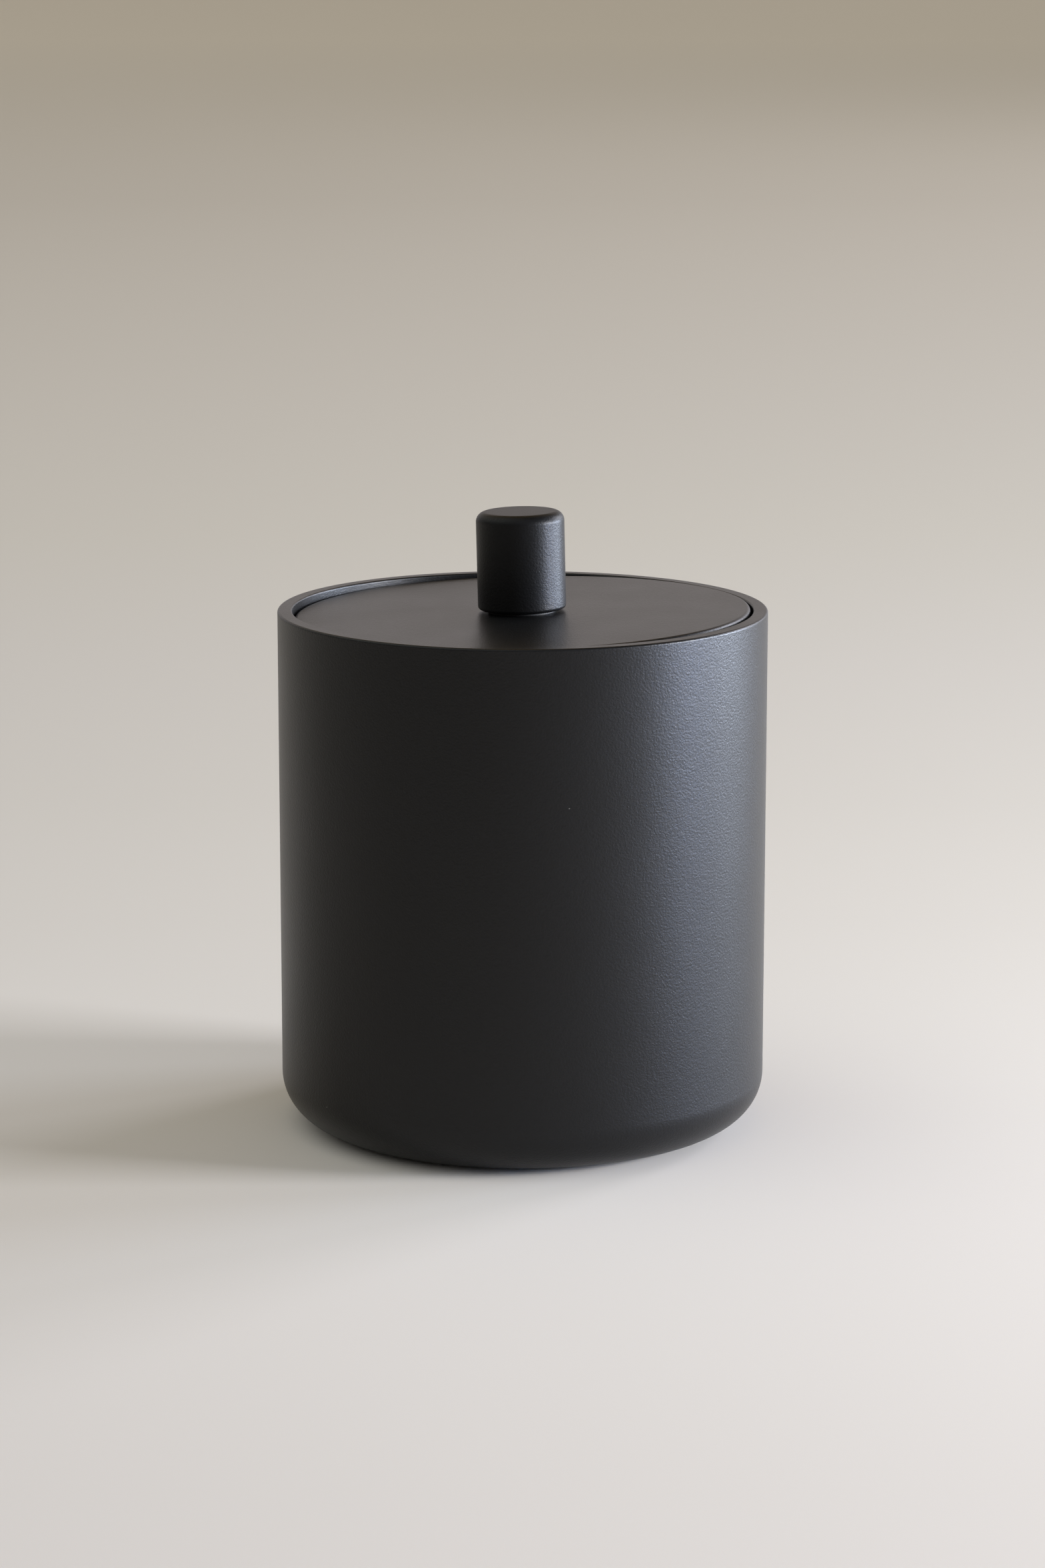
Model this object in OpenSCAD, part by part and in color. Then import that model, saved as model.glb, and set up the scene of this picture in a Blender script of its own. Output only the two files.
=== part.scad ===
// Candle tin: a double-walled steel canister with a candle inside and a push-in lid.
// Millimetres, +Z up. The origin is the centre of the face that it stands on.

/* [Tin] */
// Outer diameter of the tin
body_d = 100; // [80:1:125]
// Height from the surface it stands on to the rim
body_h = 107; // [90:1:140]
// Rounding where the wall meets the base
base_round = 10; // [8:0.5:14]
// Sheet thickness of the outer shell
shell_t = 0.8; // [0.6:0.1:1.2]
// Width of the flat rim
rim_w = 3; // [2.6:0.1:5]
// Rounding on the outer edge of the rim
rim_outer_round = 0.5; // [0.2:0.05:0.6]
// Rounding on the inner edge of the rim
rim_inner_round = 0.4; // [0.2:0.05:0.6]

/* [Base] */
// Width of the bare ring between the pad and the base rounding
pad_margin = 8; // [4:0.5:12]
// Thickness of the non-slip pad
pad_t = 1.5; // [1:0.1:2.5]
// How far the pad stands below the shell
pad_proud = 0.5; // [0.3:0.1:1]
// How much smaller in radius the cork disc is than the pad
cork_inset = 2; // [1.5:0.5:8]
// Thickness of the cork disc
cork_t = 3; // [2:0.5:6]

/* [Liner] */
// Depth of the lid seat below the rim
seat_depth = 5.2; // [4.8:0.1:9]
// Width of the ledge that the lid sits on
ledge_w = 1.8; // [1.4:0.1:3]
// Sheet thickness of the liner
liner_t = 0.6; // [0.4:0.1:1]
// Outer rounding of the liner's bottom corner
liner_round = 8; // [5:0.5:9]

/* [Candle] */
// Depth of the wax below the lid seat
wax_headspace = 20; // [18:1:50]
// Rounding where the wax meets the liner
wax_edge_round = 0.6; // [0.2:0.1:1]
// Gap between a sustainer and the rounding at the liner's floor
tab_margin = 3.8; // [0.5:0.1:5]
// Diameter of a wick
wick_d = 2.4; // [1.6:0.1:3]
// Length of wick above the wax
wick_tip = 7; // [4:0.5:9]
// Diameter of a wick sustainer's disc
tab_d = 20; // [14:0.5:20]
// Thickness of a sustainer's disc
tab_t = 0.4; // [0.3:0.1:0.8]
// Height of a sustainer's neck above its disc
tab_neck_h = 6; // [4:0.5:10]
// Thickness of an adhesive dot
sticker_t = 0.5; // [0.3:0.1:1]

/* [Lid] */
// Angle at which the lid is pushed in, low at -X; 0 seats it level
lid_tilt = 1.35; // [0:0.05:1.5]
// Gap between the lid's edge and the mouth when it is level
lid_gap = 0.5; // [0.4:0.05:0.8]
// Height of the lid cover with its skirt
cover_h = 3.5; // [3:0.1:4.5]
// Sheet thickness of the lid cover
cover_t = 1; // [0.8:0.1:1.2]
// Rounding on the lid's top edge
cover_round = 0.8; // [0.3:0.05:0.9]
// Sheet thickness of the lid pan
pan_t = 0.8; // [0.6:0.1:1]
// Height of the seal ring
seal_h = 4.6; // [3.5:0.1:6]
// How far the seal stands out from the pan's wall
seal_w = 2.4; // [1.8:0.1:3]
// Radius of the dimple that hides the screw head
dimple_r = 6; // [5.2:0.1:6.2]

/* [Knob] */
// Diameter of the knob
knob_d = 18; // [15:0.5:26]
// Height of the knob
knob_h = 20; // [16:0.5:30]
// Rounding on the knob's top edge
knob_top_round = 2; // [0.5:0.1:4]
// Rounding on the knob's lower edge
knob_foot_round = 0.8; // [0.2:0.1:1.5]
// Radius of the washer that lifts the knob off the lid
knob_washer_r = 7; // [5:0.1:7]
// Thickness of that washer
knob_washer_t = 0.5; // [0.3:0.1:1.5]
// Thread diameter of the screw
screw_d = 4; // [3:0.5:5]
// Length of the screw under its head
screw_l = 12; // [8:1:16]
// Diameter of the screw's head
screw_head_d = 8; // [7:0.1:8.4]
// Height of the screw's head
screw_head_h = 2.2; // [1.6:0.1:2.6]
// Thickness of the split washer
spring_washer_t = 0.8; // [0.5:0.1:1]

/* [Hidden] */
$fn = 128;

// Clearances between pieces that fit together
slip_gap = 0.05;     // a piece that slides into another
seal_gap = 0.1;      // the seal ring in the liner
seat_gap = 0.03;     // the lid's lowest point above its seat
loose_gap = 0.2;     // pieces that only have to go past each other
pad_gap = 0.3;       // the pad in its recess
bend_round = 0.25;   // inside of a sharp bend in the sheet

// Tin, from the base up
body_r = body_d / 2;
mouth_r = body_r - rim_w;
shell_low = pad_proud;
pad_r = body_r - base_round - pad_margin;
recess_r = pad_r + pad_gap;
recess_top = pad_t;
recess_bend = min(bend_round + shell_t, pad_t - pad_proud - bend_round);
shell_floor = recess_top + shell_t;
cork_r = pad_r - cork_inset;
cork_top = shell_floor + cork_t;
liner_floor = cork_top + liner_t;
seat_z = body_h - seat_depth;
bore_r = mouth_r - ledge_w;
liner_r = bore_r + liner_t;
flange_r = body_r - shell_t - loose_gap;

// Candle
wax_r = bore_r - slip_gap;
wax_low = liner_floor + slip_gap;
wax_top = seat_z - wax_headspace;
sticker_top = liner_floor + sticker_t;
tab_top = sticker_top + tab_t;
tab_r = tab_d / 2;
wick_r = wick_d / 2;
wick_spread = bore_r - (liner_round - liner_t) - tab_margin - tab_r;
tab_wall = 0.3;
neck_in_r = wick_r + slip_gap;
neck_out_r = neck_in_r + tab_wall;
wick_count = 3;
wick_first_angle = 90;

// Lid, measured down from the middle of its top face
cover_r = mouth_r - lid_gap;
skirt_r = cover_r - cover_t;
flange_low = -cover_t - pan_t;
seal_low = flange_low - seal_h - 2 * slip_gap;
seal_mid = (flange_low + seal_low) / 2;
pan_low = seal_low - pan_t;
seal_r = bore_r - seal_gap;
pan_r = seal_r - seal_w - slip_gap;
pan_fold = (seal_w - pan_t) / 2;
pan_flange_r = skirt_r - bend_round;
skirt_edge = 0.2;

// The seal ring's lips
lip_h = 1;
lip_count = 3;
seal_band_w = seal_w * 0.55;

// Knob and screw
knob_r = knob_d / 2;
knob_low = knob_washer_t;
screw_r = screw_d / 2;
thread_r = screw_r + slip_gap;
washer_low = flange_low - spring_washer_t;
screw_top = washer_low + screw_l;
tap_spare = 1.5;
thread_chamfer = 0.5;
head_round = 0.8;
socket_af = 2.5;
socket_depth = 1.2;
split_w = 0.6;
split_lean = 30;

// Height of the seal's middle when the lid's low side rests on its seat
lid_pivot_z = seat_z + seat_gap + cover_r * sin(lid_tilt) - (-cover_h - seal_mid) * cos(lid_tilt);

// Half section of a disc from z_low to z_high, with rounded lower and upper outer edges
module disc_section(r, z_low, z_high, low_round = 0, high_round = 0) {
    middle = (z_low + z_high) / 2;
    translate([0, z_low])
        square([r - low_round, middle - z_low]);
    translate([0, middle])
        square([r - high_round, z_high - middle]);
    translate([0, z_low + low_round])
        square([r, z_high - high_round - z_low - low_round]);
    if (low_round > 0)
        translate([r - low_round, z_low + low_round])
            circle(low_round);
    if (high_round > 0)
        translate([r - high_round, z_high - high_round])
            circle(high_round);
}

// Half section of a ring, with its upper inner and outer edges rounded
module ring_section(r_in, r_out, z_low, z_high, inner_round = 0, outer_round = 0) {
    top_round = max(inner_round, outer_round);
    translate([r_in, z_low])
        square([r_out - r_in, z_high - top_round - z_low]);
    translate([r_in + inner_round, z_low])
        square([r_out - r_in - inner_round - outer_round, z_high - z_low]);
    if (inner_round > 0)
        translate([r_in + inner_round, z_high - inner_round])
            circle(inner_round);
    if (outer_round > 0)
        translate([r_out - outer_round, z_high - outer_round])
            circle(outer_round);
}

// What lies between a square corner at the origin and its rounding. It is added to an inside
// corner or cut from an outside one; x_side and z_side are 1 or -1, towards the round's centre
module corner(bend, x_side, z_side) {
    difference() {
        translate([min(0, x_side * bend), min(0, z_side * bend)])
            square(bend);
        translate([x_side * bend, z_side * bend])
            circle(bend);
    }
}

// Puts a lid piece, drawn from the middle of the lid's top face, into the mouth
module in_mouth() {
    translate([0, 0, lid_pivot_z])
        rotate([0, -lid_tilt, 0])
            translate([0, 0, -seal_mid])
                children();
}

// Puts a candle piece, drawn on the Z axis, at wick number i
module at_wick(i) {
    rotate([0, 0, wick_first_angle + i * 360 / wick_count])
        translate([wick_spread, 0, 0])
            children();
}

// Drawn cup, recessed under its base, with the mouth curled in and down
module outer_shell() {
    hem_low = body_h - max(rim_inner_round, rim_outer_round);
    color("#2b2d31")
        rotate_extrude() {
            difference() {
                union() {
                    disc_section(body_r, shell_low, hem_low, base_round);
                    ring_section(
                        mouth_r, body_r, seat_z, body_h, rim_inner_round, rim_outer_round
                    );
                }
                // inside of the cup, up to the curl
                difference() {
                    disc_section(
                        body_r - shell_t, shell_low + shell_t, body_h - shell_t,
                        base_round - shell_t, bend_round
                    );
                    disc_section(
                        recess_r + shell_t, 0, shell_floor, 0, bend_round + recess_bend
                    );
                }
                // mouth
                translate([0, seat_z])
                    square([mouth_r, 2 * seat_depth]);
                // recess for the pad
                disc_section(recess_r, 0, recess_top, 0, bend_round);
                translate([recess_r, shell_low])
                    corner(recess_bend, 1, 1);
            }
            // the part of the curl that comes down to the liner's flange
            translate([mouth_r, seat_z])
                square([shell_t, seat_depth - shell_t]);
            translate([mouth_r + shell_t, body_h - shell_t])
                corner(bend_round, 1, -1);
        }
}

// Thin cup for the wax, with a flange clamped under the curled lip
module inner_liner() {
    bend_out = bend_round + liner_t;
    color("#a8a9ab")
        rotate_extrude() {
            difference() {
                union() {
                    disc_section(liner_r, cork_top, seat_z, liner_round);
                    translate([bore_r, seat_z - liner_t])
                        square([flange_r - bore_r, liner_t]);
                }
                disc_section(bore_r, liner_floor, seat_z + liner_t, liner_round - liner_t);
                translate([bore_r, seat_z])
                    corner(bend_out, 1, -1);
            }
            translate([liner_r, seat_z - liner_t])
                corner(bend_round, 1, -1);
        }
}

// Cork disc between the shell's floor and the liner
module liner_pad() {
    color("#b08a5e")
        translate([0, 0, shell_floor])
            cylinder(h = cork_t, r = cork_r);
}

// Non-slip disc in the recess under the base
module base_pad() {
    color("#3a3a3a")
        rotate_extrude()
            disc_section(pad_r, 0, pad_t, pad_proud / 2);
}

// Wax with room for the wicks, their sustainers and the adhesive dots
module wax_fill() {
    color("#efe6d2")
        difference() {
            rotate_extrude()
                disc_section(
                    wax_r, wax_low, wax_top, liner_round - liner_t, wax_edge_round
                );
            for (i = [0 : wick_count - 1])
                at_wick(i) {
                    cylinder(h = tab_top + slip_gap, r = tab_r + slip_gap);
                    cylinder(h = tab_top + tab_neck_h + slip_gap, r = neck_out_r + slip_gap);
                    cylinder(h = body_h, r = wick_r + slip_gap);
                }
        }
}

// Braided wick, standing on the adhesive dot
module wick(i) {
    color("#e9e4d8")
        at_wick(i)
            translate([0, 0, sticker_top])
                cylinder(h = wax_top + wick_tip - sticker_top, r = wick_r);
}

// Sustainer: a pressed disc with a crimped neck round the wick
module wick_tab(i) {
    color("#c3c5c8")
        at_wick(i)
            rotate_extrude() {
                translate([neck_in_r, sticker_top])
                    square([tab_r - neck_in_r, tab_t]);
                translate([neck_in_r, sticker_top])
                    square([tab_wall, tab_t + tab_neck_h]);
            }
}

// Adhesive dot under a sustainer
module wick_sticker(i) {
    color("#d8d3c6")
        at_wick(i)
            translate([0, 0, liner_floor])
                cylinder(h = sticker_t, r = tab_r);
}

// Lid plate with a turned-down skirt, a rounded top edge and the screw's hole
module lid_cover() {
    color("#34322f")
        in_mouth()
            rotate_extrude()
                difference() {
                    disc_section(cover_r, -cover_h, 0, skirt_edge, cover_round);
                    disc_section(skirt_r, -2 * cover_h, -cover_t, 0, bend_round);
                    translate([skirt_r, -cover_h])
                        corner(skirt_edge, 1, 1);
                    translate([0, -cover_h])
                        square([thread_r, 2 * cover_h]);
                }
}

// Under-pan: a flange against the cover, a wall, a folded edge for the seal, a screw dimple
module lid_pan() {
    dimple_wall_r = dimple_r + pan_t;
    pan_floor = pan_low + pan_t;
    color("#9b9da1")
        in_mouth()
            rotate_extrude() {
                difference() {
                    union() {
                        disc_section(pan_r, pan_low, -cover_t);
                        // folded edge under the seal
                        translate([0, pan_low])
                            square([pan_r + pan_fold, pan_t]);
                        translate([pan_r + pan_fold, pan_low + pan_t / 2])
                            circle(pan_t / 2);
                        translate([0, flange_low])
                            square([pan_flange_r, pan_t]);
                    }
                    // hollow between the cover and the pan's floor
                    translate([dimple_wall_r, pan_floor])
                        square([pan_r - pan_t - dimple_wall_r, -pan_floor]);
                    // dimple, open downwards, and the screw's hole
                    translate([0, pan_low - pan_t])
                        square([dimple_r, flange_low - pan_low + pan_t]);
                    translate([0, pan_low])
                        square([thread_r, -pan_low]);
                    translate([dimple_r, pan_low])
                        corner(bend_round + pan_t, 1, 1);
                }
                translate([dimple_wall_r, pan_floor])
                    corner(bend_round, 1, 1);
                translate([dimple_r, flange_low])
                    corner(bend_round, -1, -1);
            }
}

// Soft ring round the pan, with lips that press on the liner
module lid_seal() {
    lip_step = (seal_h - lip_h) / (lip_count - 1);
    color("#4a4a4c")
        in_mouth()
            rotate_extrude() {
                translate([pan_r + slip_gap, seal_low + slip_gap])
                    square([seal_band_w, seal_h]);
                for (i = [0 : lip_count - 1])
                    translate([pan_r + slip_gap, seal_low + slip_gap + i * lip_step]) {
                        square([seal_w - lip_h / 2, lip_h]);
                        translate([seal_w - lip_h / 2, lip_h / 2])
                            circle(lip_h / 2);
                    }
            }
}

// Knob with a rounded top edge and a tapped hole in its foot
module knob() {
    color("#2a2b2e")
        in_mouth()
            rotate_extrude()
                difference() {
                    disc_section(
                        knob_r, knob_low, knob_low + knob_h, knob_foot_round, knob_top_round
                    );
                    translate([0, knob_low])
                        square([thread_r, screw_top + tap_spare - knob_low]);
                    polygon([
                        [0, knob_low], [thread_r + thread_chamfer, knob_low],
                        [thread_r, knob_low + thread_chamfer], [0, knob_low + thread_chamfer],
                    ]);
                }
}

// Washer that holds the knob clear of the lid
module knob_washer() {
    color("#1c1c1d")
        in_mouth()
            rotate_extrude()
                translate([thread_r, 0])
                    square([knob_washer_r - thread_r, knob_washer_t]);
}

// Screw from below through the pan, the cover and the washer into the knob
module knob_screw() {
    head_r = screw_head_d / 2;
    color("#b9bcc0")
        in_mouth()
            difference() {
                rotate_extrude() {
                    disc_section(
                        head_r, washer_low - screw_head_h, washer_low, head_round, 0
                    );
                    translate([0, washer_low])
                        square([screw_r, screw_l]);
                }
                translate([0, 0, washer_low - screw_head_h])
                    cylinder(h = socket_depth, r = socket_af / 2 / cos(30), $fn = 6);
            }
}

// Split washer under the screw's head
module spring_washer() {
    outer_r = screw_head_d / 2;
    color("#8f9296")
        in_mouth()
            translate([0, 0, washer_low])
                difference() {
                    cylinder(h = spring_washer_t, r = outer_r);
                    cylinder(h = spring_washer_t, r = thread_r);
                    translate([(outer_r + thread_r) / 2, 0, spring_washer_t / 2])
                        rotate([split_lean, 0, 0])
                            cube([outer_r, split_w, 4 * spring_washer_t], center = true);
                }
}

outer_shell();
inner_liner();
liner_pad();
base_pad();
wax_fill();
wick(0);  // wick_1
wick(1);  // wick_2
wick(2);  // wick_3
wick_tab(0);  // wick_tab_1
wick_tab(1);  // wick_tab_2
wick_tab(2);  // wick_tab_3
wick_sticker(0);  // wick_sticker_1
wick_sticker(1);  // wick_sticker_2
wick_sticker(2);  // wick_sticker_3
lid_cover();
lid_pan();
lid_seal();
knob();
knob_washer();
knob_screw();
spring_washer();
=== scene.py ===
"""Candle tin: a double-walled steel canister with a poured candle and a push-in lid.

Metres, +Z up, the tin stands on Z = 0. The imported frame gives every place; the surfaces here
are worked out from the same sizes with numpy and dressed with procedural finishes.
"""
import logging
import math
from dataclasses import dataclass, field
from enum import Enum
from typing import Any

import bpy
import numpy as np
from mathutils import Euler, Matrix, Vector


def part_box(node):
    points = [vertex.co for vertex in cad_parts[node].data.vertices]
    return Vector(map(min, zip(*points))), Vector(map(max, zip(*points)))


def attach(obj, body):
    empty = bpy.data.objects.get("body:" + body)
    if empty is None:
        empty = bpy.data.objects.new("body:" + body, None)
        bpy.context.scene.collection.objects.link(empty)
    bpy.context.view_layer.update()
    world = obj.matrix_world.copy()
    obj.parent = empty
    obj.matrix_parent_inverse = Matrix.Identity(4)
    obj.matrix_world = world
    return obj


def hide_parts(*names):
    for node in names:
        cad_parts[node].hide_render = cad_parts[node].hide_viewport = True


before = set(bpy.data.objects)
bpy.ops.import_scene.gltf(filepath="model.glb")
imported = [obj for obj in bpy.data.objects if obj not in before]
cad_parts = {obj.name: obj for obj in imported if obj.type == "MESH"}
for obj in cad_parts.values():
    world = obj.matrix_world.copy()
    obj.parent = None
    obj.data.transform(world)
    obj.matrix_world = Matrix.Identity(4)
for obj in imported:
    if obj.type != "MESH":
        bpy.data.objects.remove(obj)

log = logging.getLogger("candle_tin")

Colour = tuple[float, float, float]

MM = 0.001
FULL_TURN = 2 * math.pi
WELD_MM = 0.001
TINY = 1e-9
# least rounding of a section's corner, in millimetres
LEAST_BEND = 0.02
# points round the axis of the widest pieces, of the other wide ones, and of the small ones
COLUMNS_WIDE = 320
COLUMNS_MIDDLE = 288
COLUMNS_SMALL = 192


class Body(Enum):
    """The bodies of the frame that pieces ride on."""

    TIN = "tin"
    SEAL = "seal"
    LID = "lid"


class Slot(Enum):
    """The record's material slots."""

    COAT = "coat"
    LINER = "liner_steel"
    CORK = "cork"
    PAD = "pad_foam"
    WAX = "wax"
    WICK = "wick_cotton"
    TAB = "tab_steel"
    STICKER = "sticker_foam"
    PAN = "pan_steel"
    SEAL = "seal_rubber"
    WASHER = "washer_black"
    SCREW = "screw_steel"


# ---------------------------------------------------------------- surfaces


@dataclass(frozen=True)
class Corner:
    """One corner of a section, in millimetres: radius from the axis, height, rounding."""

    r: float
    z: float
    bend: float = 0.0


@dataclass
class Section:
    """A half section: corners joined by straight lines, each corner replaced by an arc.

    The solid lies to the left of the direction of travel, so that the outward normal is the
    direction turned a quarter turn clockwise.
    """

    corners: list[Corner]
    closed: bool = False
    arc_step_deg: float = 9.0
    longest: float = 6.0

    def trace(self) -> tuple[np.ndarray, np.ndarray]:
        """Works out the points and normals along the section.

        At a corner with turn t and rounding b the arc starts b tan(t/2) before the corner
        and ends as far after it; its points are the centre plus b times the normal, whose
        angle runs evenly from the first line's to the second's.

        Returns:
            Points (n, 2) and unit normals (n, 2), both as (r, z).
        """
        spots = np.array([(c.r, c.z) for c in self.corners], float)
        count = len(spots)
        points: list[np.ndarray] = []
        normals: list[np.ndarray] = []
        for i, corner in enumerate(self.corners):
            inner = self.closed or 0 < i < count - 1
            before = spots[i] - spots[i - 1]
            after = spots[(i + 1) % count] - spots[i]
            a = self._unit(before if inner or i else after)
            b = self._unit(after if inner or not i else before)
            if not inner:
                points.append(spots[i][None])
                normals.append(self._right(a)[None])
                continue
            turn = math.atan2(a[0] * b[1] - a[1] * b[0], float(a @ b))
            bend = max(corner.bend, LEAST_BEND)
            reach = bend * math.tan(abs(turn) / 2)
            steps = max(2, int(math.ceil(abs(math.degrees(turn)) / self.arc_step_deg)))
            side = 1.0 if turn > 0 else -1.0
            start = spots[i] - a * reach
            centre = start - side * self._right(a) * bend
            first = math.atan2(*self._right(a)[::-1])
            angles = first + np.linspace(0.0, turn, steps + 1)
            rays = np.stack([np.cos(angles), np.sin(angles)], axis=1)
            points.append(centre + side * bend * rays)
            normals.append(rays)
        return self._fill(points, normals)

    def _fill(
        self, points: list[np.ndarray], normals: list[np.ndarray]
    ) -> tuple[np.ndarray, np.ndarray]:
        """Adds points on the straight lines, so that none is longer than the longest step.

        Args:
            points: The points of each corner's arc.
            normals: Their normals.

        Returns:
            All points (n, 2) and all normals (n, 2), in order.
        """
        out_p: list[np.ndarray] = []
        out_n: list[np.ndarray] = []
        groups = len(points)
        for i in range(groups):
            out_p.append(points[i])
            out_n.append(normals[i])
            if i == groups - 1 and not self.closed:
                break
            start, end = points[i][-1], points[(i + 1) % groups][0]
            parts = int(math.ceil(float(np.linalg.norm(end - start)) / self.longest))
            if parts > 1:
                share = np.arange(1, parts)[:, None] / parts
                out_p.append(start + (end - start) * share)
                out_n.append(np.repeat(self._right(self._unit(end - start))[None], parts - 1, 0))
        return np.concatenate(out_p), np.concatenate(out_n)

    @staticmethod
    def _unit(v: np.ndarray) -> np.ndarray:
        """The vector at length one."""
        return v / max(float(np.linalg.norm(v)), 1e-12)

    @staticmethod
    def _right(v: np.ndarray) -> np.ndarray:
        """The vector turned a quarter turn clockwise."""
        return np.array([v[1], -v[0]])


@dataclass
class Grid:
    """A surface on a grid: rows along one parameter, columns along the other.

    Rows may close on themselves, and so may columns. A row whose points all coincide is a
    pole and becomes one vertex.
    """

    points: np.ndarray
    normals: np.ndarray | None = None
    rows_close: bool = False
    columns_close: bool = True

    def moved(self, place: Matrix) -> "Grid":
        """The grid with its points and normals put through a placing matrix.

        Args:
            place: A turn and a shift, in millimetres.

        Returns:
            A new grid.
        """
        m = np.array(place, float)
        points = self.points @ m[:3, :3].T + m[:3, 3]
        normals = None if self.normals is None else self.normals @ m[:3, :3].T
        return Grid(points, normals, self.rows_close, self.columns_close)

    def arrays(self) -> tuple[np.ndarray, np.ndarray, np.ndarray, np.ndarray | None]:
        """Turns the grid into vertices, corner-indexed quads and UVs.

        Returns:
            Vertices (n, 3), faces (m, 4) whose repeated corner marks a triangle, the UV of
            each face corner (m, 4, 2), and normals (n, 3) or None.
        """
        rows, columns = self.points.shape[:2]
        index = np.arange(rows * columns).reshape(rows, columns)
        for row in (0, rows - 1):
            if not self.rows_close and np.ptp(self.points[row], axis=0).max() < 1e-7:
                index[row] = index[row, 0]
        row_count = rows if self.rows_close else rows - 1
        column_count = columns if self.columns_close else columns - 1
        i, j = np.meshgrid(np.arange(row_count), np.arange(column_count), indexing="ij")
        i, j = i.ravel(), j.ravel()
        i2, j2 = (i + 1) % rows, (j + 1) % columns
        faces = np.stack([index[i, j], index[i, j2], index[i2, j2], index[i2, j]], axis=1)
        lengths = np.linalg.norm(np.diff(self.points, axis=0), axis=2).mean(1)
        along = np.concatenate([[0.0], np.cumsum(lengths)])
        if self.rows_close:
            closing = np.linalg.norm(self.points[0] - self.points[-1], axis=1).mean()
            along = np.append(along, along[-1] + closing)
        across = np.arange(columns + 1) / columns
        v = np.stack([along[i], along[i], along[i + 1], along[i + 1]], axis=1) * MM
        u = np.stack([across[j], across[j + 1], across[j + 1], across[j]], axis=1)
        normals = None if self.normals is None else self.normals.reshape(-1, 3)
        return self.points.reshape(-1, 3), faces, np.stack([u, v], axis=2), normals


def lathe(section: Section, columns: int = 256) -> Grid:
    """Carries a section round the Z axis.

    At angle a the point (r, z) of the section lies at (r cos a, r sin a, z), and its normal
    (p, q) at (p cos a, p sin a, q).

    Args:
        section: The half section, in millimetres.
        columns: Points round the axis.

    Returns:
        A grid with one row per section point.
    """
    flat, normal = section.trace()
    angle = np.arange(columns) * FULL_TURN / columns
    ca, sa = np.cos(angle), np.sin(angle)

    def around(profile: np.ndarray) -> np.ndarray:
        """Revolves pairs of radius and height.

        Args:
            profile: Pairs (n, 2).

        Returns:
            Points (n, columns, 3).
        """
        r, z = profile[:, :1], profile[:, 1:]
        return np.stack([r * ca, r * sa, np.broadcast_to(z, (len(r), columns))], axis=2)

    normals = around(normal)
    for end in (0, -1):
        if abs(flat[end, 0]) < TINY:
            normals[end] = [0.0, 0.0, np.sign(normal[end, 1])]
    return Grid(around(flat), normals, rows_close=section.closed)


def weld(
    vertices: np.ndarray, faces: np.ndarray, uvs: np.ndarray, normals: np.ndarray | None
) -> tuple[np.ndarray, np.ndarray, np.ndarray, np.ndarray | None]:
    """Merges vertices that round to the same micron, and drops faces that collapse.

    Args:
        vertices: Points (n, 3) in millimetres.
        faces: Quads (m, 4).
        uvs: UVs of the face corners (m, 4, 2).
        normals: Normals (n, 3) or None.

    Returns:
        The same four, with shared vertices counted once.
    """
    key = np.round(vertices / WELD_MM).astype(np.int64)
    _, first, inverse = np.unique(key, axis=0, return_index=True, return_inverse=True)
    faces = inverse.reshape(-1)[faces]
    used, compact = np.unique(faces, return_inverse=True)
    faces = compact.reshape(faces.shape)
    distinct = 1 + (np.diff(np.sort(faces, axis=1), axis=1) != 0).sum(1)
    keep = distinct >= 3
    first = first[used]
    return (
        vertices[first],
        faces[keep],
        uvs[keep],
        None if normals is None else normals[first],
    )


def make_piece(name: str, grids: list[Grid]) -> bpy.types.Object:
    """Joins grids into one welded, smooth-shaded mesh object with a UV map.

    Args:
        name: The piece's name.
        grids: Its surfaces, in millimetres and in place.

    Returns:
        The object, at the origin.
    """
    parts = [grid.arrays() for grid in grids]
    starts = np.cumsum([0] + [len(p[0]) for p in parts[:-1]])
    vertices = np.concatenate([p[0] for p in parts])
    faces = np.concatenate([p[1] + s for p, s in zip(parts, starts)])
    uvs = np.concatenate([p[2] for p in parts])
    with_normals = all(p[3] is not None for p in parts)
    normals = np.concatenate([p[3] for p in parts]) if with_normals else None
    vertices, faces, uvs, normals = weld(vertices, faces, uvs, normals)
    # a collapsed quad keeps its distinct corners in order
    repeat = faces == np.roll(faces, 1, axis=1)
    corner_mask = ~repeat
    sizes = corner_mask.sum(1)
    loops = faces[corner_mask]
    mesh = bpy.data.meshes.new(name)
    mesh.vertices.add(len(vertices))
    mesh.vertices.foreach_set("co", (vertices * MM).astype(np.float32).ravel())
    mesh.loops.add(len(loops))
    mesh.loops.foreach_set("vertex_index", loops.astype(np.int32))
    mesh.polygons.add(len(faces))
    begin = np.concatenate([[0], np.cumsum(sizes)[:-1]]).astype(np.int32)
    mesh.polygons.foreach_set("loop_start", begin)
    mesh.update(calc_edges=True)
    mesh.validate(clean_customdata=False)
    mesh.polygons.foreach_set("use_smooth", np.ones(len(mesh.polygons), bool))
    layer = mesh.uv_layers.new(name="surface")
    layer.data.foreach_set("uv", uvs[corner_mask].astype(np.float32).ravel())
    if normals is not None:
        mesh.normals_split_custom_set_from_vertices(normals.tolist())
    piece = bpy.data.objects.new(name, mesh)
    bpy.context.scene.collection.objects.link(piece)
    return piece


# ---------------------------------------------------------------- finishes


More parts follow.
